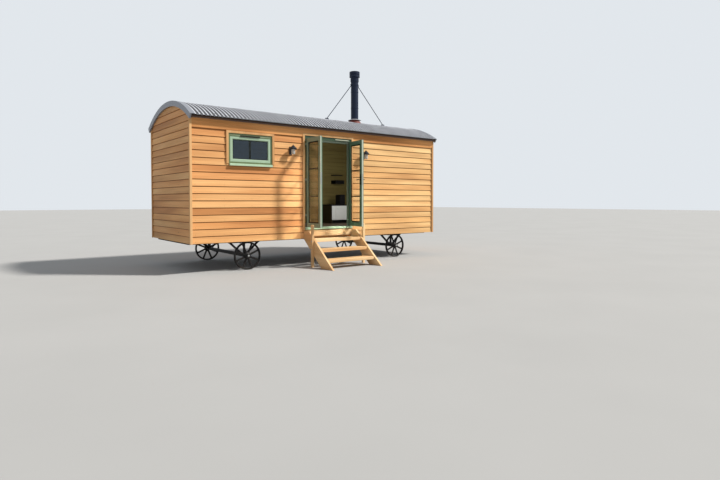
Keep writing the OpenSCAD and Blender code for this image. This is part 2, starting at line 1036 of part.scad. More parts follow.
// Shelf on the rear wall, as far along as the cupboard's right side
module interior_shelf() {
    color("#2a2420")
        place()
            box([shelf_x, cupboard_x + cupboard_w], [inner_w - shelf_d, inner_w],
                [floor_z + shelf_h, floor_z + shelf_h + shelf_t]);
}

// Wheels

// A cast wheel with T-section rim, tapered spokes and a bored hub, about its axle along Y
module wheel() {
    web_t = 16;
    web_d = 20;
    spoke_t = 12;
    spoke_r0 = hub_r - 8;
    spoke_end = spoke_w - 4;
    rim_r = wheel_r - tyre_t;
    rotate([90, 0, 0])
        difference() {
            union() {
                rotate_extrude()
                    polygon([
                        [wheel_r, -tyre_w / 2], [wheel_r, tyre_w / 2], [rim_r, tyre_w / 2], [rim_r, web_t / 2],
                        [rim_r - web_d, web_t / 2], [rim_r - web_d, -web_t / 2], [rim_r, -web_t / 2],
                        [rim_r, -tyre_w / 2]
                    ]);
                cylinder(r = hub_r, h = hub_l, center = true);
                cylinder(r = hub_r + 16, h = 34, center = true);
                for (i = [0:spokes - 1])
                    rotate([0, 0, (i + 0.5) * 360 / spokes])
                        translate([0, 0, -spoke_t / 2])
                            linear_extrude(height = spoke_t)
                                polygon([
                                    [spoke_r0, -spoke_w / 2], [rim_r - web_d + 4, -spoke_end / 2],
                                    [rim_r - web_d + 4, spoke_end / 2], [spoke_r0, spoke_w / 2]
                                ]);
            }
            cylinder(r = stub_r + run, h = 2 * hub_l, center = true);
        }
}

module wheel_at(x, y) {
    color("#2b2b2d")
        place()
            translate([x, y, axle_z])
                wheel();
}

module front_left_wheel() {
    wheel_at(-axle_x, -wheel_y);
}

module front_right_wheel() {
    wheel_at(axle_x, -wheel_y);
}

module rear_left_wheel() {
    wheel_at(-axle_x, wheel_y);
}

module rear_right_wheel() {
    wheel_at(axle_x, wheel_y);
}

chassis_rails();
chassis_cross_members();
left_axle();
right_axle();
axle_brackets();
floor_deck();
front_wall_left();
front_wall_right();
front_wall_over_door();
front_wall_under_door();
rear_wall();
left_end_wall();
right_end_wall();
corner_boards();
eaves_boards();
roof_deck();
roof_sheets();
left_verge_trim();
right_verge_trim();
window_surround();
window_frame();
window_sash();
window_pane();
door_surround();
door_frame();
door_sill();
wall_lamps();
flue_pipe();
flue_cowl();
flue_flashing();
flue_stays();
left_stringer();
right_stringer();
step_treads();
step_posts();
interior_cupboard();
interior_shelf();
left_door_leaf();
left_door_pane();
right_door_leaf();
right_door_pane();
front_left_wheel();
front_right_wheel();
rear_left_wheel();
rear_right_wheel();
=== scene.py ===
"""Looks of the shepherd's hut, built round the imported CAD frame.

Everything is in metres in the row frame: X along the hut, -Y out of the doorway, Z up.
New pieces are surfaces computed with numpy as whole arrays; each function's docstring gives its formula.
"""

import json
import math

import bpy
import numpy as np
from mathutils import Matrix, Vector

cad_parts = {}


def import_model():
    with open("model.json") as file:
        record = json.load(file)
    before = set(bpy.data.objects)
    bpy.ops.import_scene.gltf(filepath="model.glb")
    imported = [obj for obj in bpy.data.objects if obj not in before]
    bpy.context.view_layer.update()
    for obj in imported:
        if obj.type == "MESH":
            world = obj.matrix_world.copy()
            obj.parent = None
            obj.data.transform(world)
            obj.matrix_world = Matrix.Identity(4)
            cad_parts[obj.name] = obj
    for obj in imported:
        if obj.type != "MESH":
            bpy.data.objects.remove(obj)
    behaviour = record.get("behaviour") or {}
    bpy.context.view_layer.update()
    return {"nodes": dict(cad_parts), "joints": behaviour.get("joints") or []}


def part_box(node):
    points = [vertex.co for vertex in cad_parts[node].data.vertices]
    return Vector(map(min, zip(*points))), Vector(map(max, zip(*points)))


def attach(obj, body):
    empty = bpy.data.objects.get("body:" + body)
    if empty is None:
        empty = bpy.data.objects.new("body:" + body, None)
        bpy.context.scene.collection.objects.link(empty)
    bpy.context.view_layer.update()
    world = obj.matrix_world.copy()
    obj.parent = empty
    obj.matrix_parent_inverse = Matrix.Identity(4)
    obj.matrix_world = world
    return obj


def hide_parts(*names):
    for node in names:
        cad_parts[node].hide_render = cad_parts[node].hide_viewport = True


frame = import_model()
TAU = 2 * math.pi
UP = (0, 0, 1)


def low(node):
    return np.array(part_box(node)[0])


def high(node):
    return np.array(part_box(node)[1])


def ends(node):
    return low(node), high(node)


# Places read from the CAD nodes
(_, FRONT, BODY_Z), (HALF_L, _, _) = ends("front_wall_right")
REAR = high("rear_wall")[1]
MID = (FRONT + REAR) / 2
HALF_W = (REAR - FRONT) / 2
FLOOR_Z = high("floor_deck")[2]
(DOOR_X0, _, _), (DOOR_X1, _, DOOR_TOP) = ends("door_frame")
CREST = high("roof_sheets")[2]

# Sizes shared with the CAD part
WALL_T = 0.110
ROOF_R = 2.300
ROOF_CZ = CREST - ROOF_R
DECK_RI = 2.2344
WAVES = 80
WAVE_D = 0.018
EAVE = 0.115
HALF_ROOF = math.asin((HALF_W + EAVE) / ROOF_R)
LEAF_T = 0.045
HINGE_OUT = 0.008

# Lapped boards outside and flat boards inside
BOARD_P = 0.130
BOARD_LAP = 0.013
BOARD_BACK = 0.024
BOARD_GAP = 0.004
BOARDS_TOP = 2.84
SMALLEST_BOARD = 0.008
LINING_P = 0.100
LINING_T = 0.012


# Mesh building

def added(name, data):
    """A new object in the scene."""
    o = bpy.data.objects.new(name, data)
    bpy.context.scene.collection.objects.link(o)
    return o


def unit(v):
    return v / np.linalg.norm(v, axis=-1, keepdims=True)


class Form:
    """Gathers the shells of one piece, whose materials are named by number."""

    def __init__(self, *materials):
        self.materials = materials
        self.points, self.faces, self.mats, self.smooth = [], [], [], []
        self.count = 0

    def shells(self, p, mat=0, smooth=False, ends="cap"):
        """Adds a shell for each entry of p, an array of (shells, rings, points of a ring, 3).

        Quads join each ring to the next. The two ends are closed by one polygon each (cap), by rungs across
        a thin ring (rungs), or joined to each other (loop). A shell is turned outward by the sign of its
        volume, the sum of a . (b x c) over its triangles.
        """
        p = np.asarray(p, float)
        p = p.reshape((-1,) + p.shape[-3:])
        shells, rings, n, _ = p.shape
        i = np.arange(rings * n).reshape(rings, n)
        polygons = []
        if ends == "cap":
            polygons = [i[:1, ::-1], i[-1:]]
        elif ends == "rungs":
            k = np.arange(n // 2 - 1)
            for ring, order in ((i[0], (1, 0, 3, 2)), (i[-1], (0, 1, 2, 3))):
                rung = np.stack([ring[k], ring[k + 1], ring[n - 2 - k], ring[n - 1 - k]], 1)
                polygons.append(rung[:, order])
        else:
            i = np.concatenate([i, i[:1]])
        j = np.roll(i, -1, 1)
        polygons.insert(0, np.stack([i[:-1], j[:-1], j[1:], i[1:]], 2).reshape(-1, 4))
        flat = p.reshape(shells, -1, 3)
        local = flat - flat.mean(1, keepdims=True)
        volume = np.zeros(shells)
        for poly in polygons:
            for k in range(1, poly.shape[1] - 1):
                a, b, c = (local[:, poly[:, m]] for m in (0, k, k + 1))
                volume += np.einsum("stk,stk->s", a, np.cross(b, c))
        for poly in polygons:
            both = poly[None] + (self.count + np.arange(shells) * rings * n)[:, None, None]
            both[volume < 0] = both[volume < 0][:, :, ::-1]
            both = both.reshape(-1, poly.shape[1])
            self.faces.extend(both.tolist())
            self.mats.extend([mat] * len(both))
            self.smooth.extend([smooth] * len(both))
        self.points.append(flat.reshape(-1, 3))
        self.count += shells * rings * n

    def build(self, name, slot, replaces=(), body="hut", sharp=None):
        """Makes the piece, which may stand for CAD nodes. Its slot argument is not used."""
        mesh = bpy.data.meshes.new(name)
        mesh.from_pydata(np.concatenate(self.points).tolist(), [], self.faces)
        for m in self.materials:
            mesh.materials.append(m)
        mesh.polygons.foreach_set("material_index", self.mats)
        mesh.polygons.foreach_set("use_smooth", self.smooth)
        if sharp:
            mesh.set_sharp_from_angle(angle=math.radians(sharp))
        mesh.update()
        piece = added(name, mesh)
        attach(piece, body)
        if replaces:
            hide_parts(*replaces)


def lift(outline, t, axis):
    """Points of a flat outline at the place t: of (y, z) along the axis x, or of (x, y) along z."""
    return np.insert(np.asarray(outline, float), {"x": 0, "z": 2}[axis], t, -1)


def inset(outline, d):
    """An outline moved inward by d: a corner of side normals m and n moves by d (m + n) / (1 + m . n)."""
    outline = np.asarray(outline, float)
    side = unit(np.roll(outline, -1, 0) - outline)
    n = np.stack([-side[:, 1], side[:, 0]], 1)
    x, y = outline.T
    if np.sum(x * np.roll(y, -1) - np.roll(x, -1) * y) < 0:
        n = -n
    m = np.roll(n, 1, 0)
    return outline + d * (m + n) / (1 + np.sum(m * n, 1, keepdims=True))


def slab(form, outline, lo, hi, ease, mat=0):
    """An outline of (y, z) carried along X from lo to hi, its end edges cut back by a small chamfer."""
    small = inset(outline, ease)
    places = ((small, lo), (outline, lo + ease), (outline, hi - ease), (small, hi))
    form.shells(np.stack([lift(o, t, "x") for o, t in places]), mat)


def rounded(w, h, r):
    """A w by h rectangle about 0 whose corners are quarter circles of radius r, in two steps each."""
    a = np.array((0, 0.5, 1)) * TAU / 4
    quarter = np.arange(4)[:, None] * TAU / 4 + a
    cx = np.array([1, -1, -1, 1])[:, None] * (w / 2 - r)
    cy = np.array([1, 1, -1, -1])[:, None] * (h / 2 - r)
    return np.stack([cx + r * np.cos(quarter), cy + r * np.sin(quarter)], 2).reshape(-1, 2)


def plank(form, lo, hi, r=0.003, mat=0, world=None):
    """A board from lo to hi: a rounded rectangle along its longest side, drawn in by r at both ends."""
    lo, hi = np.array(lo, float), np.array(hi, float)
    size, mid = hi - lo, (hi + lo) / 2
    k = int(np.argmax(size))
    w, h = np.delete(size, k)
    r = min(r, w * 0.45, h * 0.45)
    rings = []
    for t, back in ((0, r), (r, 0), (size[k] - r, 0), (size[k], r)):
        outline = rounded(w - 2 * back, h - 2 * back, max(r - back, r * 0.3)) + np.delete(mid, k)
        rings.append(np.insert(outline, k, lo[k] + t, -1))
    p = np.stack(rings)
    form.shells(world(p) if world else p, mat)


def turned(form, profile, base, axis, n=24, mat=0, smooth=True, ends="cap"):
    """Turns (radius, height) pairs about lines: base + axis h + r (u cos t + v sin t), for many at once."""
    base, axis = (np.atleast_2d(v).astype(float) for v in (base, axis))
    base, axis = np.broadcast_arrays(base, unit(axis))
    u = unit(np.cross(np.where(np.abs(axis[:, 2:]) < 0.9, (0.0, 0.0, 1.0), (1.0, 0.0, 0.0)), axis))
    v = np.cross(axis, u)
    r, h = np.array(profile, float).T
    t = np.arange(n) / n * TAU
    circle = u[:, None] * np.cos(t)[:, None] + v[:, None] * np.sin(t)[:, None]
    p = base[:, None, None] + axis[:, None, None] * h[:, None, None]
    form.shells(p + circle[:, None] * np.maximum(r, 1e-4)[:, None, None], mat, smooth, ends)


def hexes(form, profile, spots, axis, mat=0):
    """Six-sided bolt heads or nuts, at one place or many."""
    turned(form, profile, spots, axis, 6, mat, False)


def mirrored(profile):
    """A profile of (radius, height) pairs from its upper half, for a ring that is closed on itself."""
    return profile + [(r, -h) for r, h in reversed(profile)]


def mitred(form, x, z, section, world, mat=0):
    """A section of (inward, depth) carried round a rectangle x[0]..x[1], z[0]..z[1] with mitred corners."""
    s = np.asarray(section, float)
    corners = ((x[0], z[0], 1, 1), (x[1], z[0], -1, 1), (x[1], z[1], -1, -1), (x[0], z[1], 1, -1))
    rings = [np.stack([cx + dx * s[:, 0], s[:, 1], cz + dz * s[:, 0]], 1) for cx, cz, dx, dz in corners]
    form.shells(world(np.stack(rings)), mat, ends="loop")


# Shader node groups and materials

def node(tree, kind, inputs=None, **values):
    """A node with its properties set, and its inputs joined to sockets or given plain values."""
    n = tree.nodes.new("ShaderNode" + kind)
    for key, value in values.items():
        setattr(n, key, value)
    for key, value in (inputs or {}).items():
        if isinstance(value, bpy.types.NodeSocket):
            tree.links.new(value, n.inputs[key])
        else:
            n.inputs[key].default_value = value
    return n


def calc(tree, op, a, b=0.0):
    return node(tree, "Math", {0: a, 1: b}, operation=op).outputs[0]


def band(tree, value, lo, hi, to_lo=0.0, to_hi=1.0):
    return node(tree, "MapRange", {0: value, 1: lo, 2: hi, 3: to_lo, 4: to_hi}).outputs[0]


def xyz(tree, vector):
    return node(tree, "SeparateXYZ", {0: vector}).outputs


def joined(tree, *parts):
    return node(tree, "CombineXYZ", dict(enumerate(parts))).outputs[0]


def noise(tree, vector, scale=1.0, detail=3.0, rough=0.5):
    inputs = {"Vector": vector, "Scale": scale, "Detail": detail, "Roughness": rough}
    return node(tree, "TexNoise", inputs).outputs[0]


def chance(tree, vector):
    """A random number that depends on nothing but the vector."""
    return node(tree, "TexWhiteNoise", {"Vector": vector}, noise_dimensions="3D").outputs["Value"]


def stretch(tree, vector, scale):
    return node(tree, "Mapping", {"Vector": vector, "Scale": scale}).outputs[0]


def ramp(tree, fac, *stops):
    n = node(tree, "ValToRGB", {"Fac": fac})
    while len(n.color_ramp.elements) < len(stops):
        n.color_ramp.elements.new(0.5)
    for e, (pos, col) in zip(n.color_ramp.elements, stops):
        e.position = pos
        e.color = (*col, 1) if isinstance(col, tuple) else (col, col, col, 1)
    return n.outputs["Color"]


def mix(tree, fac, a, b, kind="MIX"):
    a, b = ((*v, 1) if isinstance(v, tuple) else v for v in (a, b))
    return node(tree, "Mix", {0: fac, 6: a, 7: b}, data_type="RGBA", blend_type=kind).outputs[2]


def place(tree):
    return tree.nodes.new("ShaderNodeTexCoord").outputs["Object"]


def new_group(name):
    """A node group and the vector that goes into it."""
    g = bpy.data.node_groups.new(name, "ShaderNodeTree")
    g.interface.new_socket("Vector", in_out="INPUT", socket_type="NodeSocketVector")
    return g, g.nodes.new("NodeGroupInput").outputs[0]


def gives(g, **values):
    """Names what comes out of a node group."""
    for label in values:
        g.interface.new_socket(label, in_out="OUTPUT", socket_type="NodeSocketFloat")
    out = g.nodes.new("NodeGroupOutput")
    for label, value in values.items():
        g.links.new(value, out.inputs[label])
    return g


def grain_group():
    """Timber from a vector whose X runs along the grain in metres: tone, fine lines, knots and height."""
    g, vec = new_group("Grain")
    tone = noise(g, stretch(g, vec, (0.45, 4.0, 4.0)), detail=2.0)
    line = noise(g, stretch(g, vec, (1.5, 110, 110)), detail=4.0, rough=0.6)
    cells = node(g, "TexVoronoi", {"Vector": stretch(g, vec, (2.0, 6.5, 6.5)), "Scale": 1.0})
    spot = band(g, cells.outputs["Distance"], 0.025, 0.07, 1.0, 0.0)
    rare = node(g, "SeparateColor", {0: cells.outputs["Color"]}).outputs[0]
    knot = calc(g, "MULTIPLY", spot, calc(g, "GREATER_THAN", rare, 0.72))
    height = calc(g, "SUBTRACT", line, calc(g, "MULTIPLY", knot, 0.5))
    return gives(g, Tone=tone, Line=line, Knot=knot, Height=height)


def board_group():
    """Which lapped board a point lies on: a number for each board at random, and a painted shade line under
    each lap.
    """
    g, vec = new_group("Boards")
    x, y, z = xyz(g, vec)
    level = calc(g, "DIVIDE", calc(g, "SUBTRACT", z, BODY_Z), BOARD_P)
    row = calc(g, "FLOOR", level)
    joint = chance(g, joined(g, row, 7.0))
    side = calc(g, "GREATER_THAN", x, band(g, joint, 0.0, 1.0, DOOR_X0 + 0.05, DOOR_X1 - 0.05))
    inside, rear = (calc(g, "GREATER_THAN", y, v) for v in (FRONT + 0.03, REAR - 0.03))
    pick = chance(g, joined(g, row, side, calc(g, "ADD", inside, rear)))
    return gives(g, Board=pick, Shade=band(g, calc(g, "FRACT", level), 0.900, 0.968))


def speckle_group():
    """Unevenness of paint and metal: broad mottle, streaks that run down, and a fine tooth."""
    g, vec = new_group("Speckle")
    run = noise(g, stretch(g, vec, (14, 14, 0.9)), detail=5.0)
    return gives(g, Mottle=noise(g, vec, 9.0, 5.0), Run=run, Tooth=noise(g, vec, 210.0, 2.0))


GRAIN, BOARDS, SPECKLE = grain_group(), board_group(), speckle_group()


def use(tree, group, vector):
    return node(tree, "Group", {0: vector}, node_tree=group).outputs


def material(name, **plain):
    """A material with one Principled shader, whose plain values are set on its own sockets."""
    m = bpy.data.materials.new(name)
    m.use_nodes = True
    t = m.node_tree
    t.nodes.clear()
    shader = t.nodes.new("ShaderNodeBsdfPrincipled")
    t.links.new(shader.outputs[0], t.nodes.new("ShaderNodeOutputMaterial").inputs[0])
    for key, value in plain.items():
        shader.inputs[key.replace("_", " ")].default_value = value
    return m, t, shader


def surface(t, shader, colour, height, strength=0.12, distance=0.0006):
    """Joins a colour and a relief to the shader. The plain values give the fine tooth of paint."""
    relief = node(t, "Bump", {"Height": height, "Strength": strength, "Distance": distance}).outputs[0]
    t.links.new(colour, shader.inputs["Base Color"])
    t.links.new(relief, shader.inputs["Normal"])


def scaled(colour, f):
    return tuple(min(v * f, 1.0) for v in colour)


# Tints that set one board off from the next, and the front's left part from its right, as ramp stops
BOARD_TINTS = ((0.0, (0.87, 0.80, 0.73)), (0.2, (1.0, 0.91, 0.84)), (0.42, (0.97, 0.98, 0.99)),
               (0.62, (1.07, 1.12, 1.16)), (0.82, (0.97, 0.86, 0.79)), (1.0, (1.08, 1.04, 0.98)))
FRONT_TINTS = ((0.0, (0.99, 0.915, 0.845)), (1.0, (1.11, 1.26, 1.33)))


def wood(name, light, mid, dark, along, boards=False, knots=0.6):
    """Timber of three tones. along is the grain's way: x, y, z, or walls for level boards on every wall."""
    m, t, shader = material(name, Roughness=0.62, Specular_IOR_Level=0.25)
    vec = place(t)
    x, y, z = xyz(t, vec)
    if along == "walls":
        a, b, c = calc(t, "ADD", x, y), z, 0.0
    else:
        a, b, c = {"x": (x, y, z), "y": (y, x, z), "z": (z, x, y)}[along]
    if boards:
        board, shade = use(t, BOARDS, vec)[:2]
        c = calc(t, "MULTIPLY", board, 31.0)
    grain = use(t, GRAIN, joined(t, a, b, c))
    colour = ramp(t, grain["Tone"], (0.32, dark), (0.50, mid), (0.66, light))
    colour = mix(t, 1.0, colour, ramp(t, grain["Line"], (0.35, 0.86), (0.62, 1.05)), "MULTIPLY")
    if boards:
        colour = mix(t, 1.0, colour, ramp(t, board, *BOARD_TINTS), "MULTIPLY")
        right = ramp(t, band(t, x, DOOR_X1, DOOR_X1 + 0.3), *FRONT_TINTS)
        colour = mix(t, calc(t, "LESS_THAN", y, FRONT + 0.05), colour, right, "MULTIPLY")
        # Painted shade: a dark band just under each lap of the boards.
        line = (dark[0] * 0.38, dark[1] * 0.22, dark[2] * 0.08)
        colour = mix(t, calc(t, "MULTIPLY", shade, 0.88), colour, line)
    colour = mix(t, calc(t, "MULTIPLY", grain["Knot"], knots), colour, scaled(dark, 0.45))
    surface(t, shader, colour, grain["Height"], 0.3, 0.001)
    return m


def deck_wood():
    """Roof boards whose outer edge under the eave is painted near black as shade: out = |y - middle|, from
    inside the wall's face to the face.
    """
    m = wood("roof_boards", (0.13, 0.09, 0.055), (0.10, 0.07, 0.04), (0.07, 0.045, 0.028), "x")
    t = m.node_tree
    base = t.nodes["Principled BSDF"].inputs["Base Color"]
    y = xyz(t, place(t))[1]
    # Painted shade: the boards darken toward the wall's face, where the eave shades them.
    edge = band(t, calc(t, "ABSOLUTE", calc(t, "SUBTRACT", y, MID)), HALF_W - 0.03, HALF_W)
    t.links.new(mix(t, edge, base.links[0].from_socket, (0.035, 0.016, 0.008)), base)
    return m


def coated(name, colour, rough, metallic=0.0, uneven=0.12, run=None, run_amount=0.0, dust=0.0,
           valley_shade=0.0, sheen=0.5):
    """Paint or coated metal: mottle, streaks of run colour, dust low down, painted shade in the roof's
    valleys and on their flanks.
    """
    m, t, shader = material(name, Roughness=rough, Metallic=metallic, Specular_IOR_Level=sheen)
    vec = place(t)
    speck = use(t, SPECKLE, vec)
    base = mix(t, speck["Mottle"], scaled(colour, 1 - uneven), scaled(colour, 1 + uneven))
    if run:
        base = mix(t, band(t, speck["Run"], 0.50, 0.72, 0.0, run_amount), base, run)
    if dust:
        low_down = band(t, xyz(t, vec)[2], 0.0, 0.45, dust, 0.0)
        base = mix(t, calc(t, "MULTIPLY", low_down, speck["Mottle"]), base, (0.36, 0.31, 0.24))
    if valley_shade:
        # Painted shade: from just under the crests down into the valleys, the colour falls to near black.
        dy, dz = (calc(t, "SUBTRACT", v, c) for v, c in zip(xyz(t, vec)[1:], (MID, ROOF_CZ)))
        r = calc(t, "SQRT", calc(t, "ADD", calc(t, "MULTIPLY", dy, dy), calc(t, "MULTIPLY", dz, dz)))
        deep = band(t, r, ROOF_R - 0.0025, ROOF_R - 0.0080, 0.0, valley_shade)
        base = mix(t, deep, base, scaled(colour, 0.08))
    surface(t, shader, base, speck["Tooth"])
    return m


def two_tone_and_shaded_paint(name, rough, first, second, mask):
    """Paint that turns from one mottled pair of tones to another where mask(tree, position) is 1."""
    m, t, shader = material(name, Roughness=rough)
    vec = place(t)
    speck = use(t, SPECKLE, vec)
    tones = [mix(t, speck["Mottle"], *pair) for pair in (first, second)]
    surface(t, shader, mix(t, mask(t, vec), *tones), speck["Tooth"])
    return m


def glass(name, dim, bright, rough, index=1.45, clear=1.0, tint=(1, 1, 1), tone="Run"):
    """Glass of two close tones. clear is how much light goes through, and tint colours what it mirrors."""
    m, t, shader = material(name, Roughness=rough, IOR=index, Transmission_Weight=clear,
                            Specular_Tint=(*tint, 1))
    shade = ramp(t, use(t, SPECKLE, place(t))[tone], (0.3, dim), (0.7, bright))
    t.links.new(shade, shader.inputs["Base Color"])
    return m


CLAD = wood("cladding", (0.80, 0.47, 0.205), (0.70, 0.375, 0.150), (0.54, 0.265, 0.100), "walls", True)
LINING = wood("lining", (0.175, 0.140, 0.042), (0.160, 0.124, 0.036), (0.140, 0.104, 0.029), "walls",
              knots=0.3)
TRIM_Z = wood("trim_upright", (0.74, 0.44, 0.20), (0.63, 0.35, 0.145), (0.48, 0.24, 0.095), "z")
# Level trim for the eaves boards, brighter and more saturated than the upright trim: painted light in the
# eave's shade.
TRIM_X_BRIGHTENED = wood("trim_level_painted_light", (0.84, 0.41, 0.150), (0.70, 0.320, 0.105), (0.48, 0.200, 0.060), "x")
DECK_WOOD = deck_wood()
FLOOR_WOOD = wood("floor_boards", (0.15, 0.10, 0.06), (0.115, 0.075, 0.045), (0.08, 0.05, 0.03), "x")
STEP_TONES = ((0.90, 0.66, 0.38), (0.80, 0.54, 0.28), (0.62, 0.36, 0.16))
STEP_X, STEP_Y, STEP_Z = (wood("step_timber_" + k, *STEP_TONES, k, knots=0.8) for k in "xyz")
FRAME_GREEN = coated("frame_green", (0.120, 0.165, 0.070), 0.35)
SASH_GREEN = coated("sash_green", (0.34, 0.47, 0.33), 0.32)
SILL_GREEN = coated("sill_green", (0.42, 0.58, 0.40), 0.32)
WHITE = coated("white_paint", (0.72, 0.72, 0.67), 0.45, uneven=0.04)
DARK_TOP = coated("dark_top", (0.008, 0.007, 0.007), 0.45, uneven=0.2, sheen=0.2)
CREAM = coated("vent_cream", (0.42, 0.45, 0.34), 0.45, uneven=0.05)
# The window vent's dark brown, taken down to near black partly as painted shade under the window's head.
BROWN_VENT_AND_SHADE = coated("vent_brown_and_painted_shade", (0.012, 0.012, 0.008), 0.6, uneven=0.15, sheen=0.15)
# Dark brown on the cupboard's side: painted shade.
SHADED_SIDE = coated("side_painted_shade", (0.035, 0.024, 0.010), 0.5, uneven=0.2)
# Pale green of the strip on the leaves' free edges: a painted highlight where the sun falls.
LIT_EDGE_GREEN = coated("edge_green_painted_highlight", (0.48, 0.54, 0.45), 0.3, uneven=0.05)
COLLAR = coated("storm_collar", (0.52, 0.53, 0.56), 0.35, 0.4)
BAR = coated("bar_bronze", (0.022, 0.015, 0.009), 0.45, sheen=0.3)
# The roof's light base tone is partly a painted highlight on the crests, set against the painted shade in
# the valleys.
ROOF = coated("roof_metal", (0.62, 0.64, 0.70), 0.42, 0.1, run=(0.30, 0.28, 0.26), run_amount=0.3,
              valley_shade=0.94, sheen=0.3)
VERGE = coated("verge_metal", (0.23, 0.245, 0.28), 0.42, 0.15)
BLACK = coated("black_metal", (0.014, 0.018, 0.025), 0.40, 0.0, 0.25, sheen=0.35)
FLUE_BLACK = coated("flue_black", (0.006, 0.013, 0.036), 0.42, 0.0, 0.25, sheen=0.25)
IRON = coated("black_iron", (0.009, 0.0085, 0.009), 0.5, 0.1, 0.4, (0.08, 0.036, 0.016), 0.22,
              dust=0.07, sheen=0.22)
FLASHING = coated("red_silicone", (0.20, 0.05, 0.04), 0.6, uneven=0.2)
# Near black for the seals, the window's bar, and the strips of painted shade in gaps and beside the beads.
RUBBER_AND_SHADE = coated("seal_rubber_and_painted_shade", (0.006, 0.009, 0.007), 0.6, uneven=0.2, sheen=0.15)
STEEL = coated("small_steel", (0.42, 0.43, 0.42), 0.3, 0.9, 0.15)
SCREW = coated("screw_metal", (0.14, 0.15, 0.16), 0.35, 0.6, 0.2)
NAIL = coated("nail_head", (0.30, 0.15, 0.07), 0.5, 0.3, 0.3)
PANE = glass("pane_glass", (0.9118, 0.9306, 0.9118), (0.97, 0.99, 0.97), 0.015)
WINDOW_PANE = glass("window_glass", (0.1128, 0.1692, 0.3008), (0.12, 0.18, 0.32), 0.015, 1.64,
                    tint=(0.79, 0.92, 1.0))
JAR = glass("lamp_glass", (0.54, 0.53, 0.49), (0.66, 0.65, 0.61), 0.12, clear=0.35, tone="Mottle")


def dress(material_used, *names):
    """Gives CAD nodes a material in every slot."""
    for name in names:
        o = frame["nodes"][name]
        if not o.data.materials:
            o.data.materials.append(material_used)
        for s in o.material_slots:
            s.material = material_used


# Walls

def board_section(level, lo, hi, pitch, lap, back):
    """Section of a board as (out, z): its face falls back by lap over the pitch, its foot is eased."""
    bottom, top = max(lo, level + BOARD_GAP), min(hi, level + pitch)
    if top - bottom < SMALLEST_BOARD:
        return None
    foot, head = (-lap * (z - level) / pitch for z in (bottom, top))
    ease = 0.002
    return np.array([(-back, bottom), (foot - ease, bottom), (foot, bottom + ease),
                     (head, top), (-back, top)])


def boards(form, along_x, face, outward, span, z, hole=None, pitch=BOARD_P, lap=BOARD_LAP,
           back=BOARD_BACK, mat=0):
    """Boards up a wall. span(z) gives a board's ends along the wall. A hole (x0, x1, z0, z1) cuts them."""
    for level in BODY_Z + pitch * np.arange(math.ceil((z[1] - BODY_Z) / pitch)):
        cuts = [(span, *z)]
        if hole and level + pitch > hole[2] and level < hole[3]:
            (a, b), (c, d, foot, head) = span(level), hole
            parts = ((a, c), *z), ((d, b), *z), ((c, d), z[0], foot), ((c, d), head, z[1])
            cuts = [(lambda t, pair=pair: pair, lo, hi) for pair, lo, hi in parts]
        for reach, lo, hi in cuts:
            s = board_section(level, lo, hi, pitch, lap, back)
            if s is None:
                continue
            sides = np.array([reach(t) for t in s[:, 1]]).T
            if np.abs(sides[1] - sides[0]).min() < SMALLEST_BOARD:
                continue
            y = face + outward * s[:, 0]
            rings = [np.stack([e, y, s[:, 1]] if along_x else [y, e, s[:, 1]], 1) for e in sides]
            form.shells(np.stack(rings), mat)


# What turns the lapped boards outside into the flat lining, the second material of a wall
LINED = {"pitch": LINING_P, "lap": 0.0, "back": LINING_T, "mat": 1}


def on_arch(r, y):
    return ROOF_CZ + np.sqrt(r ** 2 - (y - MID) ** 2)


def build_wall(form, wall):
    """A wall's boards take the wall's name, with boards in place of wall, and stand for it."""
    form.build(wall.replace("wall", "boards"), "cladding", [wall])


def long_wall(wall, x0, x1, hole=None, z0=BODY_Z, z1=None):
    """Outer boards, core and lining of a long wall. The core's top follows the roof's arch."""
    form = Form(CLAD, LINING)
    face, outward = (REAR, 1) if wall == "rear_wall" else (FRONT, -1)
    inner = face - outward * WALL_T
    top = z1 or BOARDS_TOP
    boards(form, True, face, outward, lambda t: (x0, x1), (z0, top), hole)
    if not z1:
        start = max(z0, FLOOR_Z)
        x0, x1 = np.clip((x0, x1), BOARD_BACK + 0.001 - HALF_L, HALF_L - BOARD_BACK - 0.001)
        boards(form, True, inner, -outward, lambda t: (x0, x1), (start, on_arch(DECK_RI, inner) - 0.003),
               hole, **LINED)
        y = np.array([inner + outward * LINING_T, face - outward * BOARD_BACK])
        roof = on_arch(DECK_RI, y) - 0.001
        spans = [(x0, x1, start, roof)]
        if hole:
            spans = [(x0, hole[0], start, roof), (hole[1], x1, start, roof),
                     (*hole[:2], start, (hole[2],) * 2), (*hole[:2], hole[3], roof)]
        for a, b, lo, tops in spans:
            ring = np.array([(y[0], lo), (y[0], tops[0]), (y[1], tops[1]), (y[1], lo)])
            form.shells(np.stack([lift(ring, a, "x"), lift(ring, b, "x")]), 1)
    build_wall(form, wall)


def end_wall(wall, sign):
    """Boards cut to the arch y = sqrt(r^2 - (z - centre)^2), over an arched core and an inner lining."""
    form = Form(CLAD, LINING)
    arch = DECK_RI - 0.004

    def reach(half):
        def span(t):
            y = min(half, math.sqrt(max(arch ** 2 - (t - ROOF_CZ) ** 2, 0.0)))
            return (MID - y, MID + y)
        return span
    top = ROOF_CZ + arch - 0.003
    boards(form, False, sign * HALF_L, sign, reach(HALF_W - 0.001), (BODY_Z, top))
    inner_w = HALF_W - WALL_T
    boards(form, False, sign * (HALF_L - WALL_T), -sign, reach(inner_w), (FLOOR_Z, top), **LINED)
    y = MID + inner_w * np.cos(np.linspace(0, math.pi, 40))
    foot = [(MID - inner_w, FLOOR_Z), (MID + inner_w, FLOOR_Z)]
    ring = np.concatenate([foot, np.stack([y, on_arch(arch, y)], 1)])
    sides = HALF_L - WALL_T + LINING_T, HALF_L - BOARD_BACK
    form.shells(np.stack([lift(ring, sign * x, "x") for x in sides]), 1)
    build_wall(form, wall)


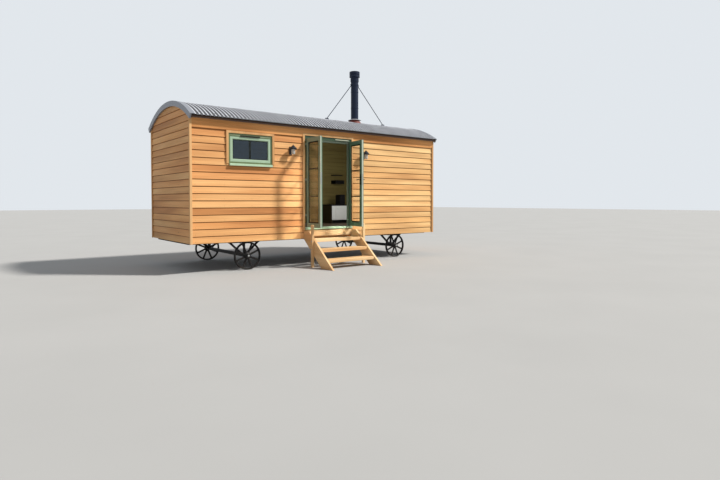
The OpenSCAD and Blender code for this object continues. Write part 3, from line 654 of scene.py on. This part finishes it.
WINDOW_LO, WINDOW_HI = ends("window_frame")
WINDOW_TRIM = 0.044
WINDOW_SILL_H = 0.040
WINDOW_X = (WINDOW_LO[0] + WINDOW_TRIM, WINDOW_HI[0] - WINDOW_TRIM)
WINDOW_Z = (WINDOW_LO[2] + WINDOW_SILL_H, WINDOW_HI[2])

long_wall("front_wall_left", -HALF_L, DOOR_X0, (*WINDOW_X, *WINDOW_Z))
long_wall("front_wall_right", DOOR_X1, HALF_L)
long_wall("front_wall_over_door", DOOR_X0, DOOR_X1, z0=DOOR_TOP)
long_wall("front_wall_under_door", DOOR_X0, DOOR_X1, z1=FLOOR_Z)
long_wall("rear_wall", -HALF_L, HALF_L)
end_wall("left_end_wall", -1)
end_wall("right_end_wall", 1)


def nail_heads():
    """Flat nail heads on every board of all four walls, at studs 0.5 to 0.6 m apart."""
    form = Form(NAIL)
    up, margin, end, rows = 0.035, 0.07, HALF_L - 0.09, 16
    out = 0.0008 - BOARD_LAP * up / BOARD_P

    def spots(places):
        level = BODY_Z + BOARD_P * np.arange(rows) + up
        return [g.ravel() for g in np.meshgrid(places, level)]

    def nails(x, y, z, axis):
        base = np.stack(np.broadcast_arrays(x, y, z), 1)
        turned(form, [(0.0045, -0.004), (0.0045, 0.0), (0.003, 0.0008)], base, axis, 8)
    left, right = np.linspace(-end, DOOR_X0 - margin, 5), np.linspace(DOOR_X1 + margin, end, 5)
    x, z = spots(np.concatenate([left, right]))
    beside = (x < WINDOW_X[0] - margin) | (x > WINDOW_X[1] + margin)
    clear = beside | (z < WINDOW_Z[0] - margin) | (z > WINDOW_Z[1] + margin)
    nails(x[clear], FRONT - out, z[clear], (0, -1, 0))
    x, z = spots(np.linspace(-end, end, 11))
    nails(x, REAR + out, z, (0, 1, 0))
    y, z = spots(MID + np.linspace(-1.06, 1.06, 5))
    for sign in (-1, 1):
        nails(sign * (HALF_L + out), y, z, (sign, 0, 0))
    form.build("cladding_nails", "cladding")


nail_heads()


# Roof

def roof_sheets():
    """Ten lapped corrugated sheets on the arch: r = R - fall - d/2 (1 - cos(2 pi x / pitch)). The fall
    grows from 0 at a sheet's left edge, which lies on its neighbour, to its right edge."""
    form = Form(ROOF)
    pitch, count, steps, arc = 2 * HALF_L / WAVES, 10, 10, 29
    thick, fall = 0.0010, 0.0014
    a = np.linspace(-HALF_ROOF, HALF_ROOF, arc)
    a = np.concatenate([a, a[::-1]])
    depth = np.repeat([0.0, thick], arc)
    for s in range(count):
        waves = WAVES // count + (0.6 if s < count - 1 else 0)
        k = np.linspace(0, waves, round(waves * steps) + 1)
        x = -HALF_L + (s * WAVES // count + k) * pitch
        r = ROOF_R - fall * k / waves - WAVE_D / 2 * (1 - np.cos(TAU * k))
        rr = r[:, None] - depth
        xx = np.broadcast_to(x[:, None], rr.shape)
        form.shells(np.stack([xx, MID + rr * np.sin(a), ROOF_CZ + rr * np.cos(a)], 2), 0, True, "rungs")
    form.build("corrugated_sheets", "roof_metal", ["roof_sheets"], sharp=60)


def roof_screws():
    """Capped screws on every fourth crest, in five rows over the arch, standing along the arch's normal."""
    form = Form(SCREW)
    a, k = (g.ravel() for g in np.meshgrid(np.array((-0.93, -0.48, 0.0, 0.48, 0.93)) * HALF_ROOF,
                                           np.arange(2, WAVES - 1, 4)))
    normal = np.stack([0 * a, np.sin(a), np.cos(a)], 1)
    base = np.stack([-HALF_L + k * 2 * HALF_L / WAVES, 0 * a + MID, 0 * a + ROOF_CZ], 1)
    cap = [(0.012, 0), (0.012, 0.0025), (0.0065, 0.0028), (0.0065, 0.0045), (0.001, 0.005)]
    turned(form, cap, base + normal * (ROOF_R - 0.002), normal, 8)
    form.build("roof_screws", "roof_metal")


roof_sheets()
roof_screws()


# Window

def wall_world(p):
    """Wall coordinates to the row frame: along the wall, depth behind the cladding's face, height."""
    return p + (0, FRONT, 0)


WINDOW_FACE, WINDOW_HEAD, SASH_FACE = 0.034, 0.058, 0.042
GLASS_T = 0.024
BEAD_W, BEAD_D = 0.012, 0.0085


def strip(a, b, near, far):
    """Section of a flat strip from a to b inward, between two depths."""
    return [(a, near), (b, near), (b, far), (a, far)]


def bead(face, side):
    """Section of a sloped bead on a pane whose face lies at a depth; side is the way it stands out."""
    tip, low_edge = face + side * BEAD_D, face + side * 0.002
    return [(0.0, face), (0.0, tip), (0.003, tip), (BEAD_W, low_edge), (BEAD_W, face)]


def glazed(form, x, z, face, side, seal_and_shade, world):
    """A bead round a pane, and the rubber seal that shows beside it, widened to paint the shade at the
    glass's edge.
    """
    mitred(form, x, z, bead(face, side), world)
    mitred(form, x, z, strip(BEAD_W, seal_and_shade, face + side * 0.001, face), world, 1)


def hood(form, outline, left, right, z):
    """The sloped hood of a vent, from points of depth behind the cladding's face and height over z."""
    slab(form, np.array(outline) + (FRONT, z), left, right, 0.002)


def window():
    """The outer frame, mitred, with head board, stop and sloped sill; then beads, a seal widened with
    painted shade, a dark strip of painted shade round the sash, bar and vent.
    """
    form = Form(FRAME_GREEN, SILL_GREEN)
    front, stop, back = -0.005, 0.0455, 0.067
    section = [(0, front + 0.003), (0.003, front), (WINDOW_FACE - 0.004, front),
               (WINDOW_FACE, front + 0.004), (WINDOW_FACE, back), (0, back)]
    mitred(form, WINDOW_X, WINDOW_Z, section, wall_world)
    x = (WINDOW_X[0] + WINDOW_FACE, WINDOW_X[1] - WINDOW_FACE)
    head = WINDOW_Z[1] - WINDOW_HEAD
    plank(form, (x[0], FRONT + front, head), (x[1], FRONT + back, WINDOW_Z[1] - WINDOW_FACE))
    mitred(form, x, (WINDOW_Z[0] + WINDOW_FACE, head), strip(0, BEAD_W, stop, back), wall_world)
    nose, top = FRONT - 0.048, WINDOW_Z[0]
    foot = top - WINDOW_SILL_H
    outline = [(FRONT, foot + 0.004), (nose + 0.012, foot + 0.002), (nose + 0.010, foot),
               (nose, foot + 0.001), (nose, top - 0.004), (nose + 0.004, top),
               (FRONT - 0.004, top + 0.0055), (FRONT, top)]
    slab(form, outline, WINDOW_X[0] + 0.012, WINDOW_X[1] - 0.010, 0.002, 1)
    form.build("window_outer_frame", "light_green_paint", ["window_frame"])

    form = Form(SASH_GREEN, RUBBER_AND_SHADE)
    (x0, y, z0), (x1, _, z1) = ends("window_pane")
    x, z, face = (x0, x1), (z0, z1), y - FRONT
    glazed(form, x, z, face, -1, 0.024, wall_world)
    mitred(form, x, z, bead(face + GLASS_T, 1), wall_world)
    # A near black strip round the sash paints the shade in the gap between sash and frame.
    shade_gap_x, shade_gap_z = ((a - SASH_FACE, b + SASH_FACE) for a, b in (x, z))
    section = [(-0.001, 0.010), (0.0035, 0.001), (0.0035, -0.0005), (-0.001, 0.0005)]
    mitred(form, shade_gap_x, shade_gap_z, section, wall_world, 1)
    mid, bar = (x0 + x1) / 2 - 0.012, 0.016
    plank(form, (mid - bar, y - 0.0025, z0 + BEAD_W), (mid + bar, y + 0.0005, z1 - BEAD_W), 0.001, 1)
    form.build("window_beads", "light_green_paint")

    form = Form(BROWN_VENT_AND_SHADE)
    left, right, z = -2.086, -1.684, 2.534
    outline = [(-0.004, 0.004), (-0.019, 0), (-0.020, 0.013), (-0.014, 0.022), (-0.004, 0.028)]
    hood(form, outline, left, right, z)
    for x in np.linspace(left + 0.016, right - 0.016, 24):
        plank(form, (x - 0.006, FRONT - 0.0208, z + 0.003), (x + 0.006, FRONT - 0.0185, z + 0.011), 0.0006)
    form.build("window_vent", "light_green_paint")


window()


# Doors

def leaf_turn(side):
    """The hinge pin's place, the side's sign, and the cosine and sine of the leaf's turn at rest."""
    joint = next(j for j in frame["joints"] if j["child"] == side + "_door")
    sign = 1 if side == "left" else -1
    turn = math.radians(sign * joint["range_deg"][0])
    return joint["pos_m"], sign, math.cos(turn), math.sin(turn)


def leaf_world(side):
    """Leaf coordinates to the row frame: distance from the hinge line, depth from the outer face, height.
    They turn about the pin by the leaf's angle at rest, as far as the joint lets it close."""
    pin, sign, c, s = leaf_turn(side)

    def world(p):
        u, v = sign * p[..., 0], p[..., 1] + HINGE_OUT
        return np.stack([pin[0] + u * c - v * s, pin[1] + u * s + v * c, p[..., 2]], -1)
    return world


LEAF_U = (0.003, 0.5745)
LEAF_Z = [corner[2] for corner in ends("left_door_leaf")]
STILE, TOP_RAIL, BOTTOM_RAIL = 0.072, 0.072, 0.078
LOCK_Z = 1.775


def lever(form, world, u, face, out):
    """A lever on a rounded plate: the grip is a swept ellipse that turns off its neck toward the hinge."""
    thick, half_w, half_h, length, stand, steps = 0.006, 0.016, 0.11, 0.115, 0.044, 14
    near, far = sorted((face, face + out * thick))
    plank(form, (u - half_w, near, LOCK_Z - half_h), (u + half_w, far, LOCK_Z + half_h), world=world)
    t = np.linspace(0, 1, steps)
    run = np.clip((t - 0.35) / 0.65, 0, 1)
    neck = np.sin(np.clip(t / 0.45, 0, 1) * TAU / 4)
    path_v = face + out * (thick + stand * neck - 0.008 * run ** 2)
    path = np.stack([u - length * run ** 1.1, path_v, LOCK_Z - 0.006 * run ** 2], 1)
    ahead = unit(np.gradient(path, axis=0))
    across = unit(np.cross(ahead, UP))
    a = np.arange(12) / 12 * TAU
    grow = 0.0075 + 0.0015 * run - 0.004 * (t > 0.97)
    ring = across[:, None] * np.cos(a)[:, None] * 0.8 + np.array(UP) * np.sin(a)[:, None]
    form.shells(world(path[:, None] + ring * grow[:, None, None]), 0, True)


def leaf_paint(side):
    """Green paint with painted shade on the inner face: depth = (p - pin) . n, with n square to the leaf at
    rest.
    """
    pin, _, c, s = leaf_turn(side)

    def inner(t, vec):
        x, y = (calc(t, "SUBTRACT", v, at) for v, at in zip(xyz(t, vec)[:2], pin))
        depth = calc(t, "ADD", calc(t, "MULTIPLY", x, -s), calc(t, "MULTIPLY", y, c))
        return band(t, depth, HINGE_OUT + LEAF_T - 0.012, HINGE_OUT + LEAF_T - 0.008)
    # The second, darker pair of tones is painted shade on the inner face.
    return two_tone_and_shaded_paint(side + "_leaf_green", 0.32, ((0.19, 0.26, 0.18), (0.25, 0.33, 0.24)),
                    ((0.10, 0.19, 0.125), (0.14, 0.25, 0.165)), inner)


def frame_paint():
    """Dark green outside and a paler grey green on the reveal behind the leaves."""
    def reveal(t, vec):
        return band(t, xyz(t, vec)[1], FRONT + 0.020, FRONT + 0.030)
    return two_tone_and_shaded_paint("door_frame_green", 0.35, ((0.028, 0.062, 0.028), (0.045, 0.090, 0.043)),
                    ((0.24, 0.31, 0.23), (0.30, 0.37, 0.28)), reveal)


LEAF_PAINT = {side: leaf_paint(side) for side in ("left", "right")}
DOOR_GREEN = frame_paint()


def leaf_details(side):
    """Beads, seals widened with painted shade, two thin bars at the thirds of the glass, a pale strip of
    painted highlight on the free edge, a dark strip of painted shade by the hinge, the lock's plate and
    levers.
    """
    world, body = leaf_world(side), side + "_door"
    (u0, u1), (z0, z1) = LEAF_U, LEAF_Z
    form = Form(LEAF_PAINT[side], RUBBER_AND_SHADE, BAR, LIT_EDGE_GREEN)

    def plate(u, depth, z, mat):
        plank(form, (u[0], depth[0], z[0]), (u[1], depth[1], z[1]), 0.0008, mat, world)
    x, z = (u0 + STILE, u1 - STILE), (z0 + BOTTOM_RAIL, z1 - TOP_RAIL)
    for out in (-1, 1):
        face = LEAF_T / 2 + out * GLASS_T / 2
        glazed(form, x, z, face, out, 0.034, world)
        near, far = sorted((face - out * 0.0005, face + out * 0.006))
        for third in (1 / 3, 2 / 3):
            h = z[0] + (z[1] - z[0]) * third
            plank(form, (x[0] + 0.010, near, h - 0.011), (x[1] - 0.010, far, h + 0.011), 0.002, 2, world)
    # The pale strip on the free edge is a painted highlight; the dark strip by the hinge is painted shade
    # in the gap there.
    pale, seal_and_shade = (0.003, 0.021), (-0.0012, 0.001)
    if side == "right":
        pale, seal_and_shade = (0.012, 0.042), (0.044, 0.0462)
    z = (z0 + 0.002, z1 - 0.002)
    plate((u0 + 0.001, u0 + 0.020), seal_and_shade, z, 1)
    plate((u1 - 0.001, u1 + 0.001), pale, z, 3)
    form.build(side + "_door_beads", "dark_green_paint", body=body)
    form = Form(BAR if side == "right" else STEEL, STEEL)
    if side == "right":
        for face, out in ((0.0, -1), (LEAF_T, 1)):
            lever(form, world, u1 - STILE / 2, face, out)
    plate((u1 - 0.001, u1 + 0.0018), (0.012, 0.034), (LOCK_Z - 0.12, LOCK_Z + 0.12), 1)
    form.build(side + "_door_lock", "dark_green_paint", body=body)


leaf_details("left")
leaf_details("right")


def door_vent():
    """A narrow vent with a sloped hood on the head of the door frame, over the right leaf."""
    form = Form(CREAM)
    outline = [(0.001, 0.005), (-0.014, 0.004), (-0.015, 0.015), (-0.008, 0.022), (0.001, 0.025)]
    hood(form, outline, 0.084, 0.440, DOOR_TOP - 0.051)
    form.build("door_vent", "dark_green_paint")


# Wall lamps

def wall_lamps():
    """A long wall plate with an arm across, and a turned cap, flared brim and round-ended jar."""
    form = Form(BLACK, JAR, STEEL)
    (x0, y0, bottom), (x1, _, _) = ends("wall_lamps")
    brim_r, arm_r, jar_top = 0.080, 0.010, 2.365
    y = y0 + brim_r
    depth = jar_top - bottom
    arm_z = jar_top + 0.020
    neck = [(0.020, 0.008), (0.020, 0.014), (0.013, 0.018), (0.011, 0.026)]
    shade = [(0.001, 0.082), (0.009, 0.080), (0.012, 0.074), (0.014, 0.061), (0.024, 0.058),
             (0.034, 0.051), (0.046, 0.038), (0.061, 0.022), (brim_r - 0.004, 0.005), (brim_r, 0.002),
             (brim_r, 0.0), (brim_r - 0.006, 0.0005), (0.060, 0.0130), (0.046, 0.026), (0.043, 0.006),
             (0.043, -0.010), (0.038, -0.012), (0.001, -0.012)]
    a = np.linspace(0, TAU / 4, 7)
    end = np.stack([0.018 + 0.022 * np.cos(a), -(depth - 0.024) - 0.022 * np.sin(a)], 1)
    jar = [(0.034, -0.006), (0.0385, -0.010), (0.040, -0.016), *end.tolist(), (0.001, -depth + 0.0015)]
    for x in (x0 + brim_r, x1 - brim_r):
        plank(form, (x - 0.030, FRONT - 0.012, jar_top - 0.115), (x + 0.030, FRONT, jar_top + 0.050), 0.005)
        turned(form, neck, (x, FRONT, arm_z), (0, -1, 0))
        turned(form, [(arm_r, 0.01), (arm_r, FRONT - y)], (x, FRONT, arm_z), (0, -1, 0), 14)
        turned(form, shade, (x, y, jar_top), UP, 40)
        turned(form, jar, (x, y, jar_top), UP, 32, 1)
        screws = [(x, FRONT - 0.0115, jar_top - d) for d in (0.100, 0.060)]
        turned(form, [(0.004, 0), (0.004, 0.002), (0.002, 0.003)], screws, (0, -1, 0), 10, 2)
    form.build("wall_lamp_details", "lamp_metal", ["wall_lamps"], sharp=40)


door_vent()
wall_lamps()


# Flue

FLUE_LO, FLUE_HI = ends("flue_cowl")
FLUE_X, FLUE_Y, _ = (FLUE_LO + FLUE_HI) / 2
FLUE_R = 0.0875
BOOT_R = FLUE_R + 0.001


def flue_details():
    """Joint bands, the stay band's bolts, and the boot: rings whose height blends from the roof's surface
    at the skirt to a level circle at the pipe, under a flared storm collar."""
    form = Form(FLUE_BLACK, STEEL)
    roof_z = on_arch(ROOF_R, FLUE_Y)
    joint = [(FLUE_R - 0.001, -0.012), (FLUE_R + 0.003, -0.010), (FLUE_R + 0.0045, 0),
             (FLUE_R + 0.003, 0.010), (FLUE_R - 0.001, 0.012)]
    for z in (roof_z + 0.32, roof_z + 0.70, FLUE_LO[2] - 0.02):
        turned(form, joint, (FLUE_X, FLUE_Y, z), UP, 48)
    lo, hi = ends("flue_stays")
    band_z, half_foot = FLUE_HI[2] - 0.310, 0.035
    top = on_arch(ROOF_R + 0.020, FLUE_Y)
    for out, foot in ((-1, lo[0] + half_foot), (1, hi[0] - half_foot)):
        clamp = (FLUE_X + out * (FLUE_R + 0.024), FLUE_Y, band_z)
        hexes(form, [(0.007, -0.012), (0.007, 0.012)], clamp, (0, 1, 0), 1)
        spots = [(foot + d, FLUE_Y, top) for d in (-0.025, 0.025)]
        hexes(form, [(0.007, -0.004), (0.007, 0.006)], spots, UP, 1)
    form.build("flue_bands", "flue_metal", sharp=40)

    form = Form(FLASHING, COLLAR)
    t = np.arange(56) / 56 * TAU
    profile = np.array([(0.149, 0.0005, 0), (0.149, 0.006, 0), (0.143, 0.012, 0), (0.132, 0.015, 0.2),
                        (0.124, 0.020, 0.5), (0.113, 0.026, 0.8), (0.1035, 0.032, 1), (0.1035, 0.051, 1),
                        (BOOT_R, 0.051, 1), (BOOT_R, 0.004, 0)])
    r, h, level = (c[:, None] for c in profile.T)
    x, y = FLUE_X + r * np.cos(t), FLUE_Y + r * np.sin(t)
    z = h + level * roof_z + (1 - level) * on_arch(ROOF_R, y)
    form.shells(np.stack([x, y, z], 2), 0, True, "loop")
    flare = [(0.1505, 0.0375), (0.152, 0.040), (0.150, 0.0425), (0.120, 0.054), (0.0935, 0.0635),
             (BOOT_R, 0.0635), (BOOT_R, 0.0515), (0.104, 0.0515)]
    turned(form, flare, (FLUE_X, FLUE_Y, roof_z), UP, 56, 1, ends="loop")
    form.build("flue_boot", "flashing_rubber", ["flue_flashing"], sharp=50)


flue_details()


# Steps

(STEP_X0, _, TREADS_LOW), (STEP_X1, _, _) = ends("step_treads")
STEP_TOE = low("left_stringer")[1]
HEADER_TOP = high("left_stringer")[2]
FIRST_RISE, STEP_RISE, STEP_GOING, TREAD_D = 0.180, 0.190, 0.229, 0.245
TREAD_T = FIRST_RISE - TREADS_LOW
HEADER_T, HEADER_D, STRINGER_D = 0.045, 0.120, 0.250
TREAD_Z = FIRST_RISE + STEP_RISE * np.arange(3)
SLOPE = STEP_RISE / STEP_GOING


def steps():
    """Treads and header with rounded edges, stringers cut level and plumb, chamfered posts, and bolts."""
    form = Form(STEP_X)
    for z in TREAD_Z:
        nose = STEP_TOE + z / SLOPE
        plank(form, (STEP_X0, nose, z - TREAD_T), (STEP_X1, nose + TREAD_D, z), 0.006)
    plank(form, (STEP_X0, FRONT - HEADER_T, HEADER_TOP - HEADER_D), (STEP_X1, FRONT, HEADER_TOP), 0.004)
    form.build("tread_boards", "step_timber", ["step_treads"])
    slant = STRINGER_D / math.sin(math.atan(SLOPE))
    outline = [(STEP_TOE, 0), (STEP_TOE + slant, 0), (FRONT, (FRONT - STEP_TOE - slant) * SLOPE),
               (FRONT, HEADER_TOP), (STEP_TOE + HEADER_TOP / SLOPE, HEADER_TOP)]
    for side in ("left", "right"):
        form = Form(STEP_Y)
        lo, hi = ends(side + "_stringer")
        slab(form, outline, lo[0], hi[0], 0.004)
        form.build(side + "_stringer_board", "step_timber", [side + "_stringer"])
    form = Form(STEP_Z, STEEL)
    (x0, y0, _), (x1, y1, top_z) = ends("step_posts")
    size, y, ease = y1 - y0, (y0 + y1) / 2, 0.008
    for x, out in ((x0 + size / 2, -1), (x1 - size / 2, 1)):
        square = rounded(size, size, 0.005) + (x, y)
        top = rounded(size - 2 * ease, size - 2 * ease, 0.003) + (x, y)
        rings = ((square, 0), (square, top_z - ease), (top, top_z))
        form.shells(np.stack([lift(o, z, "z") for o, z in rings]))
        bolts = [(x + out * size / 2, y, z) for z in (0.36, 0.52)]
        cap = [(0.016, -0.002), (0.016, 0.0015), (0.011, 0.005), (0.001, 0.0065)]
        turned(form, cap, bolts, (out, 0, 0), 16, 1)
    form.build("post_timbers", "step_timber", ["step_posts"])
    form = Form(STEEL)
    heads = [(x, STEP_TOE + z / SLOPE + d, z) for z in TREAD_Z
             for x in (STEP_X0 + 0.06, STEP_X1 - 0.06) for d in (0.05, 0.19)]
    turned(form, [(0.0055, -0.002), (0.0055, 0.0006), (0.002, 0.0006)], heads, UP, 10)
    form.build("step_screws", "step_timber")


steps()


# Inside

def interior():
    """Cupboard with a stile, a door, a side painted dark brown as shade, and a dark top; a black box on it;
    a boxed shelf.
    """
    form = Form(WHITE, DARK_TOP, STEEL, SHADED_SIDE)
    (x0, y0, z0), (x1, y1, box_top) = ends("interior_cupboard")
    top = FLOOR_Z + 0.475
    kick, under = z0 + 0.08, top - 0.030
    plank(form, (x0 + 0.020, y0 + 0.06, z0), (x1 - 0.004, y1, kick), 0.002, 1)
    plank(form, (x0, y0 + 0.004, z0), (x0 + 0.018, y1, under), 0.002, 3)
    plank(form, (x0 + 0.0185, y0 + 0.022, kick), (x1, y1, under - 0.002), 0.002)
    for a, b in ((x0 + 0.002, x0 + 0.112), (x0 + 0.116, x1 - 0.002)):
        plank(form, (a, y0 + 0.001, kick + 0.004), (b, y0 + 0.019, under - 0.006))
    knob = [(0.005, 0), (0.005, -0.012), (0.012, -0.016), (0.012, -0.0175)]
    turned(form, knob, (x0 + 0.18, y0 + 0.0185, top - 0.10), (0, 1, 0), 14, 2)
    plank(form, (x0, y0, under), (x1, y1, top), 0.004, 1)
    a, b, face = x0 + 0.262, x0 + 0.420, y0 + 0.020
    plank(form, (a, face + 0.012, top), (b, face + 0.200, box_top), 0.008, 1)
    section = [(0.002, 0.0), (0.018, 0.0), (0.020, 0.003), (0.020, 0.014), (0.002, 0.014)]
    mitred(form, (a, b), (top + 0.002, box_top), section, lambda p: p + (0, face, 0), 1)
    form.build("cupboard_details", "white_paint", ["interior_cupboard"])

    # The shelf is near black all over: partly its own dark colour, partly painted shade under it.
    form = Form(DARK_TOP)
    (x0, y0, z0), (x1, y1, z1) = ends("interior_shelf")
    x0 += 0.130
    lo, hi = z0 + 0.02, z1 - 0.02
    plank(form, (x0, y0, z0), (x1, y1, lo + 0.002), 0.002)
    plank(form, (x0, y0, hi - 0.002), (x1, y1, z1), 0.002)
    for x in (x0, x1 - 0.02):
        plank(form, (x, y0 + 0.002, lo), (x + 0.02, y1, hi), 0.002)
    plank(form, (x0, y0 + 0.02, lo), (x1, y1, hi), 0.002)
    plank(form, (x0, y1 - 0.14, z1 + 0.125), (x1, y1, z1 + 0.143), 0.002)
    form.build("shelf_boards", "dark_wood", ["interior_shelf"])


interior()


# Chassis and wheels

AXLE_Z = 0.270
WHEEL_R, TYRE_W, TYRE_T, WEB_T, WEB_D = 0.270, 0.060, 0.011, 0.016, 0.020
HUB_R, HUB_L, SPOKES, SPOKE_W, SPOKE_END = 0.048, 0.094, 8, 0.040, 0.036


def wheel(name):
    """A cast wheel about its axle along Y. Rim and hub are turned profiles; each spoke is a plus-shaped
    section that tapers from hub to rim: half widths w(s) = w0 + (w1 - w0) s, flared at both ends."""
    form = Form(IRON)
    centre = sum(ends(name)) / 2
    centre[2] = AXLE_Z
    rim, half = WHEEL_R - TYRE_T, TYRE_W / 2
    web, fillet = WEB_T / 2, 0.004
    rim_section = [(WHEEL_R, half - 0.003), (WHEEL_R - 0.002, half), (rim + 0.001, half),
                   (rim, half - 0.002), (rim, web + fillet), (rim - fillet, web),
                   (rim - WEB_D + 0.003, web), (rim - WEB_D, web - 0.003)]
    turned(form, mirrored(rim_section), centre, (0, 1, 0), 96, ends="loop")
    bore, hub, collar = 0.0255, HUB_L / 2, 0.041
    hub_section = [(bore, hub), (collar - 0.003, hub), (collar, hub - 0.003), (collar, hub - 0.014),
                   (HUB_R, hub - 0.018), (HUB_R, 0.022), (HUB_R + 0.012, 0.017), (HUB_R + 0.016, 0.012)]
    turned(form, mirrored(hub_section), centre, (0, 1, 0), 48, ends="loop")
    s = np.array((0.0, 0.06, 0.16, 0.5, 0.86, 0.95, 1.0))
    wide = (SPOKE_W / 2 * (1 - s) + SPOKE_END / 2 * s) * (1.25, 1.08, 1.0, 1.0, 1.0, 1.10, 1.30)
    deep = np.array((0.016, 0.0145, 0.013, 0.0115, 0.010, 0.010, 0.009))
    flat, rib = np.full_like(s, 0.0045), np.full_like(s, 0.0050)
    u, v = np.array([[wide, wide, rib, rib, -rib, -rib], [-flat, flat, flat, deep, deep, flat]])
    u, v = np.concatenate([u, -u]).T, np.concatenate([v, -v]).T
    reach = (HUB_R + 0.008 + (rim - WEB_D + 0.002 - HUB_R - 0.008) * s)[:, None]
    angle = (np.arange(SPOKES) + 0.5) / SPOKES * TAU
    c, d = np.cos(angle)[:, None, None], np.sin(angle)[:, None, None]
    depth = centre[1] + np.broadcast_to(v, (SPOKES,) + v.shape)
    form.shells(np.stack([centre[0] + reach * c - u * d, depth, centre[2] + reach * d + u * c], -1))
    out = -1 if "front" in name else 1
    ring, r = np.arange(SPOKES) / SPOKES * TAU, 0.056
    bolts = centre + np.stack([r * np.cos(ring), np.full(SPOKES, out * 0.012), r * np.sin(ring)], 1)
    hexes(form, [(0.0055, 0), (0.0055, 0.0035), (0.001, 0.0045)], bolts, (0, out, 0))
    form.build(name + "_casting", "wheel_iron", [name], name, 35)


for end in ("front", "rear"):
    for side in ("left", "right"):
        wheel(end + "_" + side + "_wheel")


def running_gear():
    """Bolt heads on the bracket plates and axle beams, and a cap on each axle end."""
    form = Form(IRON)
    plates, saddle = high("axle_brackets")[2] - 0.012, AXLE_Z + 0.042
    head, end, track = 0.008, 0.004, 0.880
    under, over = [], []
    for x in (low("left_axle")[0] + 0.040, high("right_axle")[0] - 0.040):
        for y in (MID - track, MID + track):
            under += [(x + d, y + e, plates) for d in (-0.27, -0.08, 0.08, 0.27) for e in (-0.011, 0.011)]
            over += [(x + d, y, saddle) for d in (-0.036, 0.036)]
    hexes(form, [(head, 0), (head, -0.007), (end, -0.007), (end, -0.013)], under, UP)
    hexes(form, [(head, -0.002), (head, 0.007), (end, 0.007), (end, 0.013)], over, UP)
    form.build("bracket_bolts", "axle_steel")
    form = Form(STEEL)
    cap = [(0.020, 0), (0.020, 0.0015), (0.012, 0.004), (0.001, 0.005)]
    for axle in ("left_axle", "right_axle"):
        (x0, y0, _), (x1, y1, _) = ends(axle)
        for y, out in ((y0 + 0.0005, -1), (y1 - 0.0005, 1)):
            turned(form, cap, ((x0 + x1) / 2, y, AXLE_Z), (0, out, 0))
    form.build("axle_caps", "axle_steel")


running_gear()

dress(VERGE, "left_verge_trim", "right_verge_trim")
dress(DECK_WOOD, "roof_deck")
dress(FLOOR_WOOD, "floor_deck")
dress(TRIM_Z, "corner_boards", "window_surround", "door_surround")
dress(TRIM_X_BRIGHTENED, "eaves_boards")
dress(SASH_GREEN, "window_sash")
dress(SILL_GREEN, "door_sill")
dress(DOOR_GREEN, "door_frame")
dress(LEAF_PAINT["left"], "left_door_leaf")
dress(LEAF_PAINT["right"], "right_door_leaf")
dress(PANE, "left_door_pane", "right_door_pane")
dress(WINDOW_PANE, "window_pane")
dress(FLUE_BLACK, "flue_pipe", "flue_cowl", "flue_stays")
dress(IRON, "chassis_rails", "chassis_cross_members", "left_axle", "right_axle", "axle_brackets")
for name in ("window_pane", "left_door_pane", "right_door_pane"):
    frame["nodes"][name].visible_shadow = False


# Studio floor, light and camera

def lamp(name, kind, energy, toward):
    """A light that shines from where toward points."""
    light = bpy.data.lights.new(name, kind)
    light.energy = energy
    o = added(name, light)
    o.rotation_euler = Vector(toward).to_track_quat("Z", "Y").to_euler()
    return o, light


def studio():
    """A pale floor just under the hut, a soft sky that shows as plain paper, a sun and a light inside."""
    mesh = bpy.data.meshes.new("studio_floor")
    s, z = 80.0, -0.001
    mesh.from_pydata([(-s, -s, z), (s, -s, z), (s, s, z), (-s, s, z)], [], [(0, 1, 2, 3)])
    m, t, shader = material("studio_floor", Roughness=0.9)
    tone = ramp(t, noise(t, place(t), 0.6), (0.3, (0.41, 0.41, 0.405)), (0.7, (0.43, 0.43, 0.425)))
    t.links.new(tone, shader.inputs["Base Color"])
    mesh.materials.append(m)
    o = added("studio_floor", mesh)

    world = bpy.data.worlds.new("studio")
    bpy.context.scene.world = world
    world.use_nodes = True
    t = world.node_tree
    t.nodes.clear()
    path = t.nodes.new("ShaderNodeLightPath").outputs
    seen = calc(t, "MAXIMUM", path["Is Camera Ray"], path["Is Glossy Ray"])
    seen = calc(t, "MAXIMUM", seen, path["Is Transmission Ray"])
    light = node(t, "Background", {0: (0.90, 0.95, 1.0, 1), 1: 0.42})
    pale = node(t, "Background", {0: (0.76, 0.80, 0.84, 1), 1: 1.0})
    both = node(t, "MixShader", {0: seen, 1: light.outputs[0], 2: pale.outputs[0]})
    t.links.new(both.outputs[0], t.nodes.new("ShaderNodeOutputWorld").inputs[0])

    sun = lamp("key", "SUN", 4.5, (0.544, -0.465, 0.698))[1]
    sun.angle = math.radians(6)
    sun.color = (1.0, 0.96, 0.90)
    o, soft = lamp("inside", "AREA", 20, (0, -1, 0.1))
    soft.shape = "RECTANGLE"
    soft.size, soft.size_y = 1.4, 0.9
    o.location = (0.9, FRONT + 0.16, 1.9)
    o.visible_camera = False


def camera():
    """The photograph's viewpoint: 37.76 degrees from +Y toward +X, looking 1.83 degrees down."""
    data = bpy.data.cameras.new("camera")
    data.lens = 25.65
    data.sensor_width = 36.0
    data.shift_y = -0.031
    data.clip_end = 300
    o = added("camera", data)
    yaw, tilt = math.radians(37.76), math.radians(1.83)
    look = Vector((math.sin(yaw) * math.cos(tilt), math.cos(yaw) * math.cos(tilt), -math.sin(tilt)))
    o.location = (-6.235, -10.18 + MID, 1.32)
    o.rotation_euler = look.to_track_quat("-Z", "Y").to_euler()
    bpy.context.scene.camera = o


studio()
camera()
bpy.context.scene.view_settings.view_transform = "Standard"
